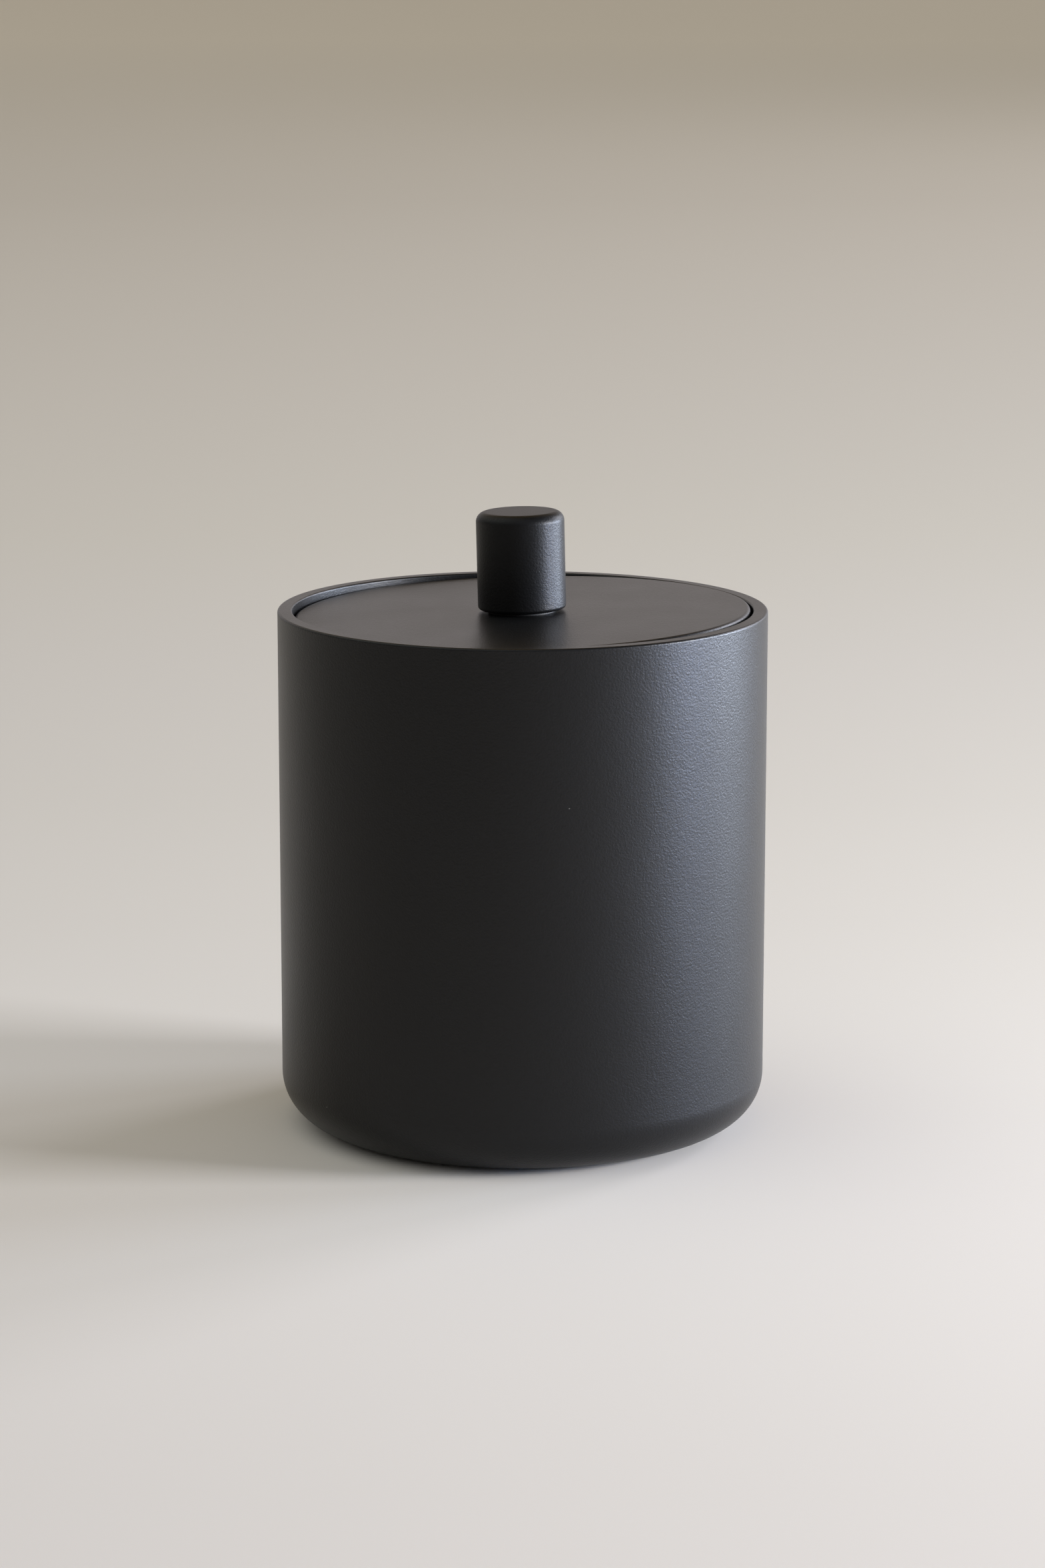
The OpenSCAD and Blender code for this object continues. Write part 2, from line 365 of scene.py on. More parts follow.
class Nodes:
    """A node tree under construction."""

    def __init__(self, tree: Any) -> None:
        """Takes the tree that the nodes are added to."""
        self.tree = tree

    def add(self, kind: str, inputs: dict[Any, Any] | None = None, **settings: Any) -> Any:
        """Adds a node.

        Args:
            kind: The node's type name.
            inputs: Values or sockets for its inputs, by name or number.
            settings: Its own properties.

        Returns:
            The node.
        """
        node = self.tree.nodes.new(kind)
        for key, value in settings.items():
            setattr(node, key, value)
        for key, value in (inputs or {}).items():
            self.feed(node.inputs[key], value)
        return node

    def feed(self, socket: Any, value: Any) -> None:
        """Gives an input socket a value, or a link from another socket.

        Args:
            socket: The input socket.
            value: A number, a colour or an output socket.
        """
        if isinstance(value, bpy.types.NodeSocket):
            self.tree.links.new(value, socket)
        else:
            socket.default_value = value

    def math(self, operation: str, a: Any, b: Any = 0.0) -> Any:
        """One step of arithmetic on numbers or sockets."""
        return self.add("ShaderNodeMath", {0: a, 1: b}, operation=operation).outputs[0]

    def vector(self, operation: str, a: Any, b: Any) -> Any:
        """One step of arithmetic on vectors or colours."""
        return self.add("ShaderNodeVectorMath", {0: a, 1: b}, operation=operation).outputs[0]

    def scaled(self, a: Any, share: Any) -> Any:
        """A vector or colour times a number."""
        node = self.add("ShaderNodeVectorMath", {0: a, "Scale": share}, operation="SCALE")
        return node.outputs[0]

    def split(self, vector: Any) -> Any:
        """The three parts of a vector, as sockets."""
        return self.add("ShaderNodeSeparateXYZ", {0: vector}).outputs

    def span(self, value: Any, low: float, high: float) -> Any:
        """Stretches 0 to 1 onto low to high."""
        node = self.add("ShaderNodeMapRange", {"Value": value, "To Min": low, "To Max": high})
        return node.outputs[0]

    def step(self, value: Any, start: float, end: float) -> Any:
        """A smooth step from 0 to 1.

        Args:
            value: The number that steps, as a socket.
            start: Where the step begins.
            end: Where it ends.

        Returns:
            The step, as a socket.
        """
        node = self.add(
            "ShaderNodeMapRange", {"Value": value, "From Min": start, "From Max": end},
            interpolation_type="SMOOTHSTEP",
        )
        return node.outputs[0]


class Shader(Nodes):
    """A material under construction, round one Principled surface."""

    def __init__(self, name: str) -> None:
        """Starts a material with a Principled surface joined to its output.

        Args:
            name: The material's name.
        """
        self.material = bpy.data.materials.new(name)
        self.material.use_nodes = True
        super().__init__(self.material.node_tree)
        self.tree.nodes.clear()
        output = self.add("ShaderNodeOutputMaterial")
        self.surface = self.add("ShaderNodeBsdfPrincipled")
        self.feed(output.inputs[0], self.surface.outputs[0])

    def set(self, **values: Any) -> None:
        """Gives the surface values or sockets, by input name with _ for a space."""
        for key, value in values.items():
            self.feed(self.surface.inputs[key.replace("_", " ")], value)

    def where(self) -> Any:
        """Object coordinates, in metres."""
        return self.add("ShaderNodeTexCoord").outputs["Object"]

    def uv(self) -> Any:
        """The piece's own UV map: share of a turn, and metres along the section."""
        return self.add("ShaderNodeUVMap", uv_map="surface").outputs[0]

    def noise(
        self, vector: Any, scale: float, detail: float = 2.0, rough: float = 0.5, warp: float = 0.0
    ) -> Any:
        """Fractal noise from 0 to 1.

        Args:
            vector: The place, as a socket.
            scale: Waves in a metre.
            detail: How many octaves are added.
            rough: The strength of each octave against the last.
            warp: How far the noise bends itself.

        Returns:
            The noise, as a socket.
        """
        node = self.add(
            "ShaderNodeTexNoise",
            {"Vector": vector, "Scale": scale, "Detail": detail, "Roughness": rough,
             "Distortion": warp},
        )
        return node.outputs["Fac"]

    def cells(self, vector: Any, scale: float, feature: str = "F1") -> Any:
        """A Voronoi node, whose Distance and Color outputs are used.

        Args:
            vector: The place, as a socket.
            scale: Cells in a metre.
            feature: Distance to the nearest point, or to the nearest edge.

        Returns:
            The node.
        """
        return self.add(
            "ShaderNodeTexVoronoi",
            {"Vector": vector, "Scale": scale},
            feature=feature,
        )

    def ramp(self, value: Any, stops: list[tuple[float, Any]]) -> Any:
        """A colour ramp.

        Args:
            value: A number from 0 to 1, as a socket.
            stops: For each, its place, and its grey level or colour.

        Returns:
            The colour, as a socket.
        """
        node = self.add("ShaderNodeValToRGB", {0: value})
        band = node.color_ramp
        while len(band.elements) < len(stops):
            band.elements.new(1.0)
        for element, (place, shade) in zip(band.elements, stops):
            element.position = place
            level = (shade,) * 3 if isinstance(shade, (int, float)) else shade
            element.color = (*level, 1.0)
        return node.outputs[0]

    def mix(self, share: Any, a: Any, b: Any) -> Any:
        """Colour a at share 0, colour b at share 1.

        Args:
            share: The share, as a socket.
            a: A colour or a socket.
            b: A colour or a socket.

        Returns:
            The colour, as a socket.
        """
        node = self.add("ShaderNodeMix", {0: share}, data_type="RGBA")
        for key, colour in ((6, a), (7, b)):
            flat = not isinstance(colour, bpy.types.NodeSocket)
            self.feed(node.inputs[key], (*colour, 1.0) if flat else colour)
        return node.outputs[2]

    def bump(self, *layers: tuple[Any, float, float]) -> None:
        """Stacks bumps on the surface.

        Args:
            layers: For each, a height socket, the strength, and the distance in metres.
        """
        normal = None
        for height, strength, distance in layers:
            inputs = {"Height": height, "Strength": strength, "Distance": distance}
            if normal is not None:
                inputs["Normal"] = normal
            normal = self.add("ShaderNodeBump", inputs).outputs[0]
        self.set(Normal=normal)


@dataclass(frozen=True)
class Finish:
    """A finish: its fields are its colours and sizes, and it paints them on a surface."""

    def build(self, name: str) -> bpy.types.Material:
        """Makes the material.

        Args:
            name: The material's name.

        Returns:
            The material.
        """
        shader = Shader(name)
        self.paint(shader)
        return shader.material

    def paint(self, s: Shader) -> None:
        """Sets the inputs of the surface; every finish does it in its own way.

        Args:
            s: The material under construction.
        """
        raise NotImplementedError


@dataclass(frozen=True)
class PowderCoat(Finish):
    """Fine matt powder coat: a close grain on a faint orange peel, with a few dust specks.

    A scale is in waves or cells in a metre, and a relief is a bump's strength and depth.
    """

    dark: Colour = (0.0023, 0.0024, 0.0027)
    pale: Colour = (0.0045, 0.0046, 0.0052)
    dust: Colour = (0.11, 0.108, 0.10)
    roughness: tuple[float, float] = (0.33, 0.39)
    ior: float = 1.38
    grain_scale: float = 5200.0
    tooth_scale: float = 2300.0
    peel_scale: float = 520.0
    cloud_scale: float = 46.0
    dust_scale: float = 330.0
    dust_size: float = 0.045
    dust_rarity: float = 0.972
    grain_relief: tuple[float, float] = (0.20, 0.00003)
    tooth_relief: tuple[float, float] = (0.55, 0.00010)
    peel_relief: tuple[float, float] = (0.12, 0.00012)

    def paint(self, s: Shader) -> None:
        """Paints the coat: grain in the tone, clouds in the gloss, three depths of relief.

        Args:
            s: The material under construction.
        """
        here = s.where()
        grain = s.noise(here, self.grain_scale, 3.0, 0.65)
        tooth = s.noise(here, self.tooth_scale, 2.0, 0.6)
        peel = s.noise(here, self.peel_scale, 2.0, 0.45)
        clouds = s.noise(here, self.cloud_scale, 3.0, 0.55)
        speck = s.cells(here, self.dust_scale)
        lone = s.add("ShaderNodeSeparateColor", {0: speck.outputs["Color"]}).outputs[0]
        dot = s.math("LESS_THAN", speck.outputs["Distance"], self.dust_size)
        rare = s.math("GREATER_THAN", lone, self.dust_rarity)
        tint = s.mix(s.span(grain, 0.1, 0.9), self.dark, self.pale)
        tint = s.mix(s.math("MULTIPLY", dot, rare), tint, self.dust)
        rough = s.math("ADD", s.span(clouds, *self.roughness), s.span(grain, -0.03, 0.03))
        s.set(Base_Color=tint, Roughness=rough, IOR=self.ior)
        s.bump((peel, *self.peel_relief), (tooth, *self.tooth_relief), (grain, *self.grain_relief))


@dataclass(frozen=True)
class TurnedSteel(Finish):
    """Drawn or spun steel: close lines round the axis, soft smears, brushed gloss."""

    dark: Colour = (0.36, 0.355, 0.345)
    pale: Colour = (0.60, 0.595, 0.58)
    line_scale: float = 5200.0
    broad_share: float = 0.11
    ring_r: float = 0.0006
    roughness: tuple[float, float] = (0.22, 0.36)
    relief: tuple[float, float] = (0.12, 0.00002)

    def paint(self, s: Shader) -> None:
        """Paints lines that follow the UV, which runs along the section.

        The noise is read on a thin tube, at (r cos turn, r sin turn, length), so that it
        changes quickly along the section, slowly round it, and meets itself after a turn.

        Args:
            s: The material under construction.
        """
        parts = s.split(s.uv())
        turn = s.math("MULTIPLY", parts[0], FULL_TURN)
        ring = s.add(
            "ShaderNodeCombineXYZ",
            {
                0: s.math("MULTIPLY", s.math("COSINE", turn), self.ring_r),
                1: s.math("MULTIPLY", s.math("SINE", turn), self.ring_r),
                2: parts[1],
            },
        ).outputs[0]
        lines = s.noise(ring, self.line_scale, 4.0, 0.75)
        broad = s.noise(ring, self.line_scale * self.broad_share, 2.0, 0.5)
        smear = s.noise(s.where(), 38.0, 4.0, 0.6, 0.6)
        blend = s.math("ADD", s.math("MULTIPLY", lines, 0.6), s.math("MULTIPLY", broad, 0.4))
        tint = s.mix(s.span(blend, -0.2, 1.2), self.dark, self.pale)
        rough = s.math("ADD", s.span(lines, *self.roughness), s.span(smear, -0.05, 0.06))
        s.set(Base_Color=tint, Roughness=rough, Metallic=1.0)
        s.bump((lines, *self.relief))


@dataclass(frozen=True)
class MottledSteel(Finish):
    """Plated or blackened small steel: fine pits and cloudy tone."""

    dark: Colour = (0.42, 0.415, 0.40)
    pale: Colour = (0.66, 0.65, 0.63)
    roughness: tuple[float, float] = (0.24, 0.42)
    cloud_scale: float = 420.0
    pit_scale: float = 3600.0
    relief: tuple[float, float] = (0.15, 0.00003)

    def paint(self, s: Shader) -> None:
        """Paints clouds in the tone and pits in the gloss.

        Args:
            s: The material under construction.
        """
        here = s.where()
        cloud = s.noise(here, self.cloud_scale, 4.0, 0.6)
        pits = s.noise(here, self.pit_scale, 3.0, 0.6)
        s.set(
            Base_Color=s.mix(s.span(cloud, 0.0, 1.0), self.dark, self.pale),
            Roughness=s.span(pits, *self.roughness),
            Metallic=1.0,
        )
        s.bump((pits, *self.relief))


@dataclass(frozen=True)
class PouredWax(Finish):
    """Soft white wax: cloudy frosting, a slow-set sheen and light that sinks in."""

    dark: Colour = (0.82, 0.775, 0.675)
    pale: Colour = (0.885, 0.855, 0.775)
    frost_scale: float = 120.0
    bloom_scale: float = 900.0
    skin_scale: float = 60.0
    frosted: float = 0.9
    roughness: tuple[float, float] = (0.36, 0.52)
    sink: Colour = (0.004, 0.0028, 0.0018)
    skin_relief: tuple[float, float] = (0.35, 0.0004)
    bloom_relief: tuple[float, float] = (0.12, 0.00005)

    def paint(self, s: Shader) -> None:
        """Paints frosting in the tone and gloss over a slowly waved skin.

        Args:
            s: The material under construction.
        """
        here = s.where()
        frost = s.noise(here, self.frost_scale, 5.0, 0.62, 0.8)
        bloom = s.noise(here, self.bloom_scale, 3.0, 0.6)
        skin = s.noise(here, self.skin_scale, 2.0, 0.5)
        share = s.math("MULTIPLY", s.ramp(frost, [(0.36, 0.0), (0.66, 1.0)]), self.frosted)
        s.set(
            Base_Color=s.mix(share, self.dark, self.pale),
            Roughness=s.math("ADD", s.span(frost, *self.roughness), s.span(bloom, -0.04, 0.04)),
            Subsurface_Weight=0.35,
            Subsurface_Radius=self.sink,
            Subsurface_Scale=1.0,
            IOR=1.44,
        )
        s.bump((skin, *self.skin_relief), (bloom, *self.bloom_relief))


@dataclass(frozen=True)
class CottonBraid(Finish):
    """Waxed cotton: fine fibres and patches of wax."""

    dark: Colour = (0.60, 0.54, 0.43)
    pale: Colour = (0.86, 0.82, 0.73)
    fibre_scale: float = 9000.0
    wax_scale: float = 700.0
    roughness: tuple[float, float] = (0.55, 0.85)
    relief: tuple[float, float] = (0.5, 0.00006)

    def paint(self, s: Shader) -> None:
        """Paints fibres in the tone and relief, and patches of wax in the gloss.

        Args:
            s: The material under construction.
        """
        here = s.where()
        fibre = s.noise(here, self.fibre_scale, 3.0, 0.7, 1.5)
        waxy = s.noise(here, self.wax_scale, 2.0, 0.5)
        s.set(
            Base_Color=s.mix(s.span(fibre, 0.0, 1.0), self.dark, self.pale),
            Roughness=s.span(waxy, *self.roughness),
            Sheen_Weight=0.25,
            Sheen_Roughness=0.5,
        )
        s.bump((fibre, *self.relief))


@dataclass(frozen=True)
class CorkBoard(Finish):
    """Pressed cork: packed granules of many browns with dark seams."""

    shades: tuple[Colour, ...] = (
        (0.22, 0.12, 0.055), (0.42, 0.26, 0.13), (0.53, 0.36, 0.20), (0.33, 0.19, 0.09),
    )
    seam: Colour = (0.07, 0.035, 0.015)
    granule_scale: float = 520.0
    wobble_scale: float = 600.0
    wobble: float = 0.0006
    seam_width: float = 0.07
    roughness: tuple[float, float] = (0.75, 0.92)
    granule_relief: tuple[float, float] = (0.6, 0.00015)
    pore_scale: float = 3000.0
    pore_relief: tuple[float, float] = (0.3, 0.00005)

    def paint(self, s: Shader) -> None:
        """Paints granules as cells whose edges are bent by a noise.

        Args:
            s: The material under construction.
        """
        here = s.where()
        noise = s.add("ShaderNodeTexNoise", {"Vector": here, "Scale": self.wobble_scale})
        bent = s.vector("ADD", here, s.scaled(noise.outputs["Color"], self.wobble))
        granules = s.cells(bent, self.granule_scale)
        edge = s.cells(bent, self.granule_scale, "DISTANCE_TO_EDGE").outputs["Distance"]
        tone = s.add("ShaderNodeSeparateColor", {0: granules.outputs["Color"]}).outputs[0]
        stops = [(i / (len(self.shades) - 1), c) for i, c in enumerate(self.shades)]
        seams = s.ramp(edge, [(0.0, 1.0), (self.seam_width, 0.0)])
        s.set(
            Base_Color=s.mix(seams, s.ramp(tone, stops), self.seam),
            Roughness=s.span(tone, *self.roughness),
        )
        pores = s.noise(here, self.pore_scale)
        s.bump((edge, *self.granule_relief), (pores, *self.pore_relief))


@dataclass(frozen=True)
class Foam(Finish):
    """Closed-cell foam or soft rubber sheet: tight cells and a dry bloom."""

    dark: Colour = (0.020, 0.020, 0.021)
    pale: Colour = (0.045, 0.045, 0.046)
    cell_scale: float = 1900.0
    bloom_scale: float = 70.0
    roughness: tuple[float, float] = (0.72, 0.9)
    relief: float = 0.5
    depth: float = 0.00008

    def paint(self, s: Shader) -> None:
        """Paints the bloom in the tone, and the cells in the gloss and relief.

        Args:
            s: The material under construction.
        """
        here = s.where()
        cell = s.cells(here, self.cell_scale).outputs["Distance"]
        bloom = s.noise(here, self.bloom_scale, 4.0, 0.6)
        s.set(
            Base_Color=s.mix(s.span(bloom, 0.0, 1.0), self.dark, self.pale),
            Roughness=s.span(cell, *self.roughness),
        )
        s.bump((cell, self.relief, self.depth))


@dataclass(frozen=True)
class SoftRubber(Finish):
    """Moulded silicone: satin, lightly dusted, with a faint mould grain."""

    dark: Colour = (0.050, 0.050, 0.052)
    pale: Colour = (0.085, 0.085, 0.087)
    dust_scale: float = 160.0
    grain_scale: float = 4200.0
    roughness: tuple[float, float] = (0.42, 0.62)
    relief: tuple[float, float] = (0.2, 0.00003)

    def paint(self, s: Shader) -> None:
        """Paints dust in the tone and gloss, and the mould's grain in the relief.

        Args:
            s: The material under construction.
        """
        here = s.where()
        dust = s.noise(here, self.dust_scale, 5.0, 0.65)
        grain = s.noise(here, self.grain_scale, 2.0, 0.5)
        s.set(
            Base_Color=s.mix(s.ramp(dust, [(0.45, 0.0), (0.75, 1.0)]), self.dark, self.pale),
            Roughness=s.span(dust, *self.roughness),
            Sheen_Weight=0.15,
            IOR=1.43,
        )
        s.bump((grain, *self.relief))


# ---------------------------------------------------------------- pieces


def dress(
    piece: bpy.types.Object, material: bpy.types.Material, body: Body, slot: Slot, *nodes: str
) -> bpy.types.Object:
    """Gives a new piece its finish and its body, hides the CAD nodes that it stands for and logs
    how far it lies from them.

    Args:
        piece: The finished mesh object, in place.
        material: Its finish.
        body: The body that it rides on.
        slot: The record's slot; not used.
        nodes: The CAD nodes that it replaces.

    Returns:
        The piece.
    """
    piece.data.materials.clear()
    piece.data.materials.append(material)
    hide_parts(*nodes)
    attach(piece, body.value)
    check_place(piece, *nodes)
    return piece


def dress_node(name: str, material: bpy.types.Material, slot: Slot) -> bpy.types.Object:
    """Gives a CAD node that stays its finish, and logs its slot.

    Args:
        name: The node.
        material: Its finish.
        slot: The record's slot.

    Returns:
        The node's object.
    """
    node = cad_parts[name]
    node.data.materials.clear()
    node.data.materials.append(material)
    log.info("%s: the CAD node, dressed as %s", name, slot.value)
    return node


def check_place(piece: bpy.types.Object, *nodes: str) -> None:
    """Reports how far a piece's box is from the box of the CAD nodes that it stands for.

    Args:
        piece: The finished piece.
        nodes: The CAD nodes.
    """
    mesh = piece.data
    points = np.empty(len(mesh.vertices) * 3, np.float32)
    mesh.vertices.foreach_get("co", points)
    points = points.reshape(-1, 3)
    boxes = [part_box(n) for n in nodes]
    low = np.min([b[0] for b in boxes], axis=0)
    high = np.max([b[1] for b in boxes], axis=0)
    off = max(np.abs(points.min(0) - low).max(), np.abs(points.max(0) - high).max()) / MM
    triangles = len(mesh.loops) - 2 * len(mesh.polygons)
    log.info("%s: %d triangles, box within %.2f mm of %s", piece.name, triangles, off, nodes)


@dataclass
class Tin:
    """The canister: coated outer shell, steel liner, cork disc and non-slip pad."""

    body_r: float = 50.0
    rim_z: float = 107.0
    mouth_r: float = 47.0
    shell_t: float = 0.8
    base_round: float = 10.0
    rim_outer_round: float = 0.5
    rim_inner_round: float = 0.4
    shell_low: float = 0.5
    recess_r: float = 32.3
    recess_top: float = 1.5
    recess_bend: float = 0.75
    pad_r: float = 32.0
    cork_top: float = 5.3
    seat_z: float = 101.8
    bore_r: float = 45.2
    flange_r: float = 49.0
    liner_t: float = 0.6
    liner_round: float = 8.0
    bend: float = 0.25
    edge: float = 0.1
    recess_corner: float = 0.225
    step_bend: float = 0.8
    pad_edge: float = 0.25
    pad_top_edge: float = 0.08
    grip_rings: tuple[float, float] = (12.0, 22.0)
    groove_mouth: float = 0.6
    groove_floor: float = 0.4
    groove_depth: float = 0.3
    groove_bend: float = 0.12

    def shell(self) -> bpy.types.Object:
        """Builds the drawn cup, from the underside of its floor over the rim to its inside.

        Returns:
            The piece.
        """
        inner = self.body_r - self.shell_t
        curl = self.mouth_r + self.shell_t
        floor = self.recess_top + self.shell_t
        low = self.shell_low + self.shell_t
        step = self.recess_r + self.shell_t
        section = Section(
            [
                Corner(0.0, self.recess_top),
                Corner(self.recess_r, self.recess_top, self.recess_corner),
                Corner(self.recess_r, self.shell_low, self.recess_bend),
                Corner(self.body_r, self.shell_low, self.base_round),
                Corner(self.body_r, self.rim_z, self.rim_outer_round),
                Corner(self.mouth_r, self.rim_z, self.rim_inner_round),
                Corner(self.mouth_r, self.seat_z, self.edge),
                Corner(curl, self.seat_z, self.edge),
                Corner(curl, self.rim_z - self.shell_t, self.bend),
                Corner(inner, self.rim_z - self.shell_t, self.bend),
                Corner(inner, low, self.base_round - self.shell_t),
                Corner(step, low, self.edge),
                Corner(step, floor, self.step_bend),
                Corner(0.0, floor),
            ],
            arc_step_deg=5.0,
        )
        return make_piece("shell_drawn_cup", [lathe(section, COLUMNS_WIDE)])

    def liner(self) -> bpy.types.Object:
        """Builds the thin cup for the wax, with its clamped flange.

        Returns:
            The piece.
        """
        outer = self.bore_r + self.liner_t
        section = Section(
            [
                Corner(0.0, self.cork_top),
                Corner(outer, self.cork_top, self.liner_round),
                Corner(outer, self.seat_z - self.liner_t, self.bend),
                Corner(self.flange_r, self.seat_z - self.liner_t, self.edge),
                Corner(self.flange_r, self.seat_z, self.edge),
                Corner(self.bore_r, self.seat_z, self.bend + self.liner_t),
                Corner(self.bore_r, self.cork_top + self.liner_t, self.liner_round - self.liner_t),
                Corner(0.0, self.cork_top + self.liner_t),
            ],
            arc_step_deg=6.0,
        )
        return make_piece("liner_thin_cup", [lathe(section, COLUMNS_MIDDLE)])

    def pad(self) -> bpy.types.Object:
        """Builds the non-slip disc, with two moulded grooves under it.

        Returns:
            The piece.
        """
        corners = [Corner(0.0, 0.0)]
        for ring in self.grip_rings:
            corners += [
                Corner(ring - self.groove_mouth, 0.0, self.groove_bend),
                Corner(ring - self.groove_floor, self.groove_depth, self.edge),
                Corner(ring + self.groove_floor, self.groove_depth, self.edge),
                Corner(ring + self.groove_mouth, 0.0, self.groove_bend),
            ]
        corners += [
            Corner(self.pad_r, 0.0, self.pad_edge),
            Corner(self.pad_r, self.recess_top, self.pad_top_edge),
            Corner(0.0, self.recess_top),
        ]
        return make_piece("pad_moulded_disc", [lathe(Section(corners), COLUMNS_SMALL)])

    def build(self) -> None:
        """Builds and dresses the pieces of the canister."""
        coat = PowderCoat().build("matt_coat")
        dress(self.shell(), coat, Body.TIN, Slot.COAT, "outer_shell")
        steel = TurnedSteel().build("liner_spun_steel")
        dress(self.liner(), steel, Body.TIN, Slot.LINER, "inner_liner")
        dress(self.pad(), Foam().build("pad_dark_foam"), Body.TIN, Slot.PAD, "base_pad")
        dress_node("liner_pad", CorkBoard().build("cork_board"), Slot.CORK)


@dataclass
class Candle:
    """The poured candle: wax, three braided wicks, their sustainers and adhesive dots."""

    wax_r: float = 45.15
    wax_low: float = 5.95
    wax_top: float = 81.8
    floor_round: float = 7.4
    sticker_top: float = 6.4
    tab_t: float = 0.4
    tab_r: float = 10.0
    neck_h: float = 6.0
    neck_in: float = 1.25
    neck_out: float = 1.55
    wick_r: float = 1.2
    wick_tip: float = 7.0
    spread: float = 24.0
    slip: float = 0.05
    count: int = 3
    first_deg: float = 90.0
    spokes: int = 144
    top_rings: int = 40
    top_crowding: float = 1.35
    wall_rows: int = 16
    foot_rows: int = 13
    floor_rings: int = 8
    bore_bend: float = 0.1
    # the bore's straight wall stops this far under the surface, below the collar
    bore_stop: float = 1.0
    # the wax climbs the wall: height, and distance in which it falls off
    meniscus: tuple[float, float] = (1.0, 1.1)
    # the wax climbs a wick in the same way
    collar: tuple[float, float] = (0.55, 0.9)
    # it sinks in rings by the wall and round the wicks: depth, distance, width
    wall_dip: tuple[float, float, float] = (0.35, 5.0, 4.0)
    wick_dip: tuple[float, float, float] = (0.28, 5.0, 3.2)
    # the sway's height, its turns in a millimetre along x and y, and its starts
    sway: float = 0.06
    sway_x: tuple[float, float] = (0.17, 0.6)
    sway_y: tuple[float, float] = (0.14, -0.4)
    wick_columns: int = 72
    wick_rows: int = 620
    plaits: int = 8
    plait_pitch: float = 5.2
    strand_depth: float = 0.14
    tip_shoulder: float = 0.5
    tip_crown: float = 0.12
    # how far a tip leans, which way the first one does, and the turn to the next
    lean: float = 0.45
    lean_first_deg: float = 35.0
    lean_turn_deg: float = 140.0
    tab_mouth_edge: float = 0.06
    tab_edge: float = 0.1
    tab_fillet: float = 0.25
    neck_edge: float = 0.12
    tab_columns: int = 96
    flute_depth: float = 0.06

    def centre(self, i: int) -> np.ndarray:
        """The place of wick i, as x and y."""
        a = math.radians(self.first_deg + i * 360.0 / self.count)
        return np.array([math.cos(a), math.sin(a)]) * self.spread

    def level(self, x: np.ndarray, y: np.ndarray) -> np.ndarray:
        """Height of the set wax over a point.

        It climbs the wall and each wick as height times exp(-gap / distance), sinks in a
        ring by each as depth times exp(-((gap - distance) / width)^2), and sways by the
        product of a long wave along x and one along y.

        Args:
            x: The points' x, in millimetres.
            y: Their y.

        Returns:
            Their heights.
        """
        wall = self.wax_r - np.hypot(x, y)
        z = self.wax_top + self.climb(wall, self.meniscus) - self.dip(wall, self.wall_dip)
        for i in range(self.count):
            cx, cy = self.centre(i)
            gap = np.hypot(x - cx, y - cy) - self.wick_r
            z = z + self.climb(gap, self.collar) - self.dip(gap, self.wick_dip)
        along = np.sin(x * self.sway_x[0] + self.sway_x[1])
        return z + self.sway * along * np.cos(y * self.sway_y[0] + self.sway_y[1])

    @staticmethod
    def climb(gap: np.ndarray, shape: tuple[float, float]) -> np.ndarray:
        """How far the wax climbs at a gap from a wall or wick."""
        return shape[0] * np.exp(-gap / shape[1])

    @staticmethod
    def dip(gap: np.ndarray, shape: tuple[float, float, float]) -> np.ndarray:
        """How far the wax sinks at a gap from a wall or wick."""
        return shape[0] * np.exp(-(((gap - shape[1]) / shape[2]) ** 2))

    def outline(self, i: int) -> tuple[np.ndarray, np.ndarray, np.ndarray]:
        """Where rays from wick i meet the edge of its third of the candle.

        The third is bounded by two radial edges 60 degrees to each side and by the wall. A
        ray meets a radial edge at the distance that solves two lines, and the wall at the
        root of a quadratic; the nearer one counts.

        Args:
            i: The wick's number.

        Returns:
            The ray directions (n, 2), the hits (n, 2), and whether each hit is on the wall.
        """
        centre = self.centre(i)
        out = centre / np.linalg.norm(centre)
        base = math.atan2(out[1], out[0])
        # ray angles, with extra ones exactly at the corners of the third
        corner = np.array([self.corner_angle(), -self.corner_angle(), math.pi])
        even = np.linspace(-math.pi, math.pi, self.spokes, endpoint=False)
        gap = np.abs((even[:, None] - corner[None] + math.pi) % FULL_TURN - math.pi).min(1)
        angles = np.sort(np.concatenate([even[gap > FULL_TURN / self.spokes * 0.5], corner]))
        rays = np.stack([np.cos(base + angles), np.sin(base + angles)], axis=1)
        far = -(rays @ centre) + np.sqrt(
            (rays @ centre) ** 2 + self.wax_r**2 - self.spread**2
        )
        side = np.where(np.sin(angles) >= 0, 1.0, -1.0)
        half = math.pi / self.count
        lean = np.sin(half * side - angles)
        with np.errstate(divide="ignore", invalid="ignore"):
            edge = -self.spread * np.sin(half * side) / lean
        edge = np.where(edge > 0, edge, np.inf)
        on_wall = far <= edge + TINY
        reach = np.where(on_wall, far, edge)
        return rays, centre + rays * reach[:, None], on_wall

    def corner_angle(self) -> float:
        """Angle at the wick between straight out and the corner of its third at the wall.

        Returns:
            The angle, in radians.
        """
        half = math.pi / self.count
        return math.atan2(
            self.wax_r * math.sin(half), self.wax_r * math.cos(half) - self.spread
        )

